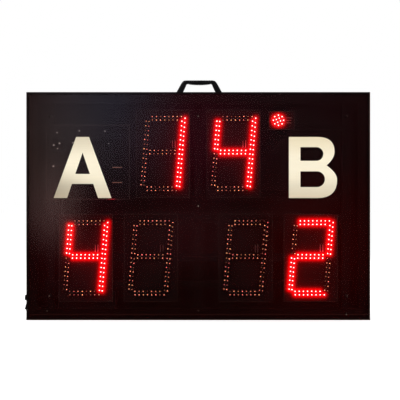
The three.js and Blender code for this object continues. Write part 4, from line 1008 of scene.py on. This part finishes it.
# Rocker: one outline across its width, a shallow V with round shoulders, drawn in at both sides; the
# whole is turned by the rest tilt
def makeRocker(at):
    tilt, gap, edge = np.radians(switch["tilt"]), switch["gap"], switch["edge"]
    flank = lambda h: (switch["pocket"][0] / 2 - gap - abs(h) * np.sin(tilt)) / np.cos(tilt)
    rise, dip, foot = switch["rise"], switch["dip"], switch["foot"]
    end = flank(rise)
    top = [(rise - dip, 0), (rise - 0.75 * dip, 0.35 * end), (rise - 0.25 * dip, 0.75 * end),
           (rise - 0.05, 0.9 * end), (rise - 0.3, end - 0.05), (0, flank(0)), (-foot, flank(foot))]
    outline = np.array(top + [(h, -a) for h, a in top[:0:-1]])
    width = switch["pocket"][1] / 2 - gap
    points = []
    for y, inset in ((-width, edge), (-width + edge, 0), (width - edge, 0), (width, edge)):
        height, along = (outline * (1 - inset / np.array([rise, end]))).T
        points.append(pointsAt(-height, y, along))
    turn = np.array([[np.cos(tilt), 0, np.sin(tilt)], [0, 1, 0], [-np.sin(tilt), 0, np.cos(tilt)]])
    body = loft(np.array(points) @ turn.T + at)
    radius, reach = switch["pin"]
    pin = turned([(radius, -reach), (radius, reach)], at, (0, 1, 0), 12)
    makePiece("powerRocker", [(body, mouldedAbs), (pin, mouldedAbs)], "switch_rocker",
              body="rocker", sharp=35)


makeSwitch()

# Charge socket, its cap and the buzzer: turned profiles as radius and height along their own axes
socket = {"z": 58, "profile": [(0.6, -8.4), (3, -8.5), (3, 1.3), (3.2, 1.5), (6.8, 1.5), (7.2, 1.1),
                               (7.2, 0.02), (5.5, 0.02), (5.5, -15.8), (5.3, -16), (0.5, -16)]}
cap = {"profile": [(0.4, -5), (2.4, -5), (2.6, -4.6), (2.6, 1.8), (6.9, 1.8), (7.2, 2.1), (7.2, 4),
                   (6.9, 4.7), (6.1, 5.2), (4.6, 5.48), (2, 5.5), (0.5, 5.5)],
       "sides": 96, "grooves": 24, "grooveDepth": 0.3, "grooveFrom": 6.5}
buzzer = {"profile": [(0.8, -5), (13, -5), (13, 0), (26.6, 0), (27, -0.5), (27, -2.5), (22, -2.5), (22, -19),
                      (21, -20), (1, -20)]}
outAxis = (-1, 0, 0)
socketPlace = (wallFace, switch["y"], socket["z"])


def makeSocket():
    shape = turned(socket["profile"], socketPlace, outAxis, 40)
    makePiece("chargeSocket", [(shape, mouldedAbs)], "charge_socket")


# Cap with small grip grooves round its edge: beyond the radius grooveFrom, the radius shrinks by
# grooveDepth * (0.5 - 0.5 * cos(grooves * angle))
def makeCap():
    sides = cap["sides"]
    shape = turned(cap["profile"], (0, 0, 0), outAxis, sides)
    points = shape["points"].reshape(-1, sides, 3)
    wave = 0.5 - 0.5 * np.cos(np.arange(sides) * 2 * np.pi * cap["grooves"] / sides)
    radii = np.array(cap["profile"])[:, 0]
    grip = np.where(radii > cap["grooveFrom"], cap["grooveDepth"], 0)[:, None] * wave[None]
    points[..., 1:] *= (1 - grip / np.maximum(radii, 0.1)[:, None])[..., None]
    shape["points"] = points.reshape(-1, 3) + np.array(socketPlace)
    makePiece("socketCap", [(shape, mouldedRubber)], "socket_cap", body="cap")


def makeBuzzer():
    _, high, middle = boxOf("buzzer")
    shape = turned(buzzer["profile"], (middle[0], high[1], middle[2]), (0, 1, 0), 40)
    makePiece("alarmBuzzer", [(shape, mouldedAbs)], "buzzer")


def makeBattery():
    low, high, _ = boxOf("battery_pack")
    shape = roundedBlock(low, high, 6, 2, axis=0, steps=6)
    makePiece("batteryPack", [(shape, shrinkWrap)], "battery_pack")


makeSocket()
makeCap()
makeBuzzer()
makeBattery()
print("handle, switch, socket and inner parts made")

# CAD nodes that keep their own shape
kept = {
    anodisedBar: ["frame_top", "frame_bottom", "frame_left", "frame_right"],
    anodisedChannel: ["battery_strap"] + [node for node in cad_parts
                                          if node.split("_")[0] in ("corner", "strut", "rail")],
    powderCoat: ["rear_cover"],
    smokedAcrylic: ["front_panel"],
    flatCable: ["ribbon_top", "ribbon_bottom"],
    leadPvc: ["charge_lead", "switch_lead", "supply_lead"],
    blackOxide: ["socket_nut"],
}
for material, names in kept.items():
    for name in names:
        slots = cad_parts[name].data.materials
        slots.clear()
        slots.append(material)

# Stage: camera, lamps, floor, world and the card that the gloss sees
scene = bpy.context.scene
upright = (np.pi / 2, 0, 0)
scene.camera = addObject("viewCamera", bpy.data.cameras.new("viewCamera"), view["place"], upright)
scene.camera.data.sensor_width = view["sensorWidth"]
scene.camera.data.lens = view["lens"]
scene.view_settings.view_transform = "Standard"
for look in lamps:
    light = bpy.data.lights.new(look["name"], "AREA")
    light.size, light.energy = look["size"], look["watts"]
    aim = Vector((0, 0, 0.3)) - Vector(look["place"])
    addObject(look["name"], light, look["place"], aim.to_track_quat("-Z", "Y").to_euler())


# One where a ray comes from the camera or from gloss or clear material, else nought
def cleanRay(tree):
    path = addNode(tree, "LightPath", {}).outputs
    seen = addNode(tree, "Math", {0: path["Is Camera Ray"], 1: path["Is Glossy Ray"]}, operation="MAXIMUM")
    return addNode(tree, "Math", {0: seen, 1: path["Is Transmission Ray"]}, operation="MAXIMUM")


def makeWorld():
    world = bpy.data.worlds.new("softRoom")
    world.use_nodes = True
    scene.world = world
    tree = world.node_tree
    level = addNode(tree, "MapRange", {
        "Value": cleanRay(tree), "To Min": stageLooks["skyLevel"], "To Max": 1.0,
    })
    setInputs(tree, tree.nodes["Background"], {"Strength": level, "Color": (1, 1, 1, 1)})


def flatCard(name, size, place, turn, material):
    x, y = size[0] / 2, size[1] / 2
    mesh = bpy.data.meshes.new(name)
    mesh.from_pydata([(-x, -y, 0), (x, -y, 0), (x, y, 0), (-x, y, 0)], [], [(0, 1, 2, 3)])
    mesh.materials.append(material)
    card = addObject(name, mesh, place, turn)
    return card


def makeFloor():
    material, tree = newMaterial("whiteFloor")
    material.cycles.emission_sampling = "NONE"
    glow = addNode(tree, "Math", {0: cleanRay(tree), 1: stageLooks["floorGlow"]}, operation="MULTIPLY")
    setShader(material, {"Base Color": stageLooks["floorColor"], "Roughness": 1.0, "Specular IOR Level": 0.0,
                         "Emission Color": (1, 1, 1, 1), "Emission Strength": glow})
    size = stageLooks["floorSize"]
    flatCard("floor", (size, size), (0, 0, 0), (0, 0, 0), material)


# The dark room in front of the board, which its gloss alone sees: an upright card, and one along the
# floor that starts just before the case
roomLook = {"size": (16, 9), "distance": 5.2, "floorSize": (16, 5.1), "floorStart": -0.041,
            "floorRise": 0.002, "dark": "#0e0c0c"}


def makeRoom():
    material, tree = newMaterial("darkRoom")
    material.cycles.emission_sampling = "NONE"
    tree.nodes.remove(tree.nodes["Principled BSDF"])
    glow = addNode(tree, "Emission", {"Color": roomLook["dark"], "Strength": 1.0})
    setInputs(tree, tree.nodes["Material Output"], {"Surface": glow})
    depth = roomLook["floorSize"][1]
    floorPlace = (0, roomLook["floorStart"] - depth / 2, roomLook["floorRise"])
    for card in (flatCard("roomCard", roomLook["size"], (0, -roomLook["distance"], 0.3), upright, material),
                 flatCard("roomFloor", roomLook["floorSize"], floorPlace, (0, 0, 0), material)):
        for ray in ("camera", "diffuse", "transmission", "volume_scatter", "shadow"):
            setattr(card, "visible_" + ray, False)


makeWorld()
makeFloor()
makeRoom()
print("stage made")

bpy.context.view_layer.update()
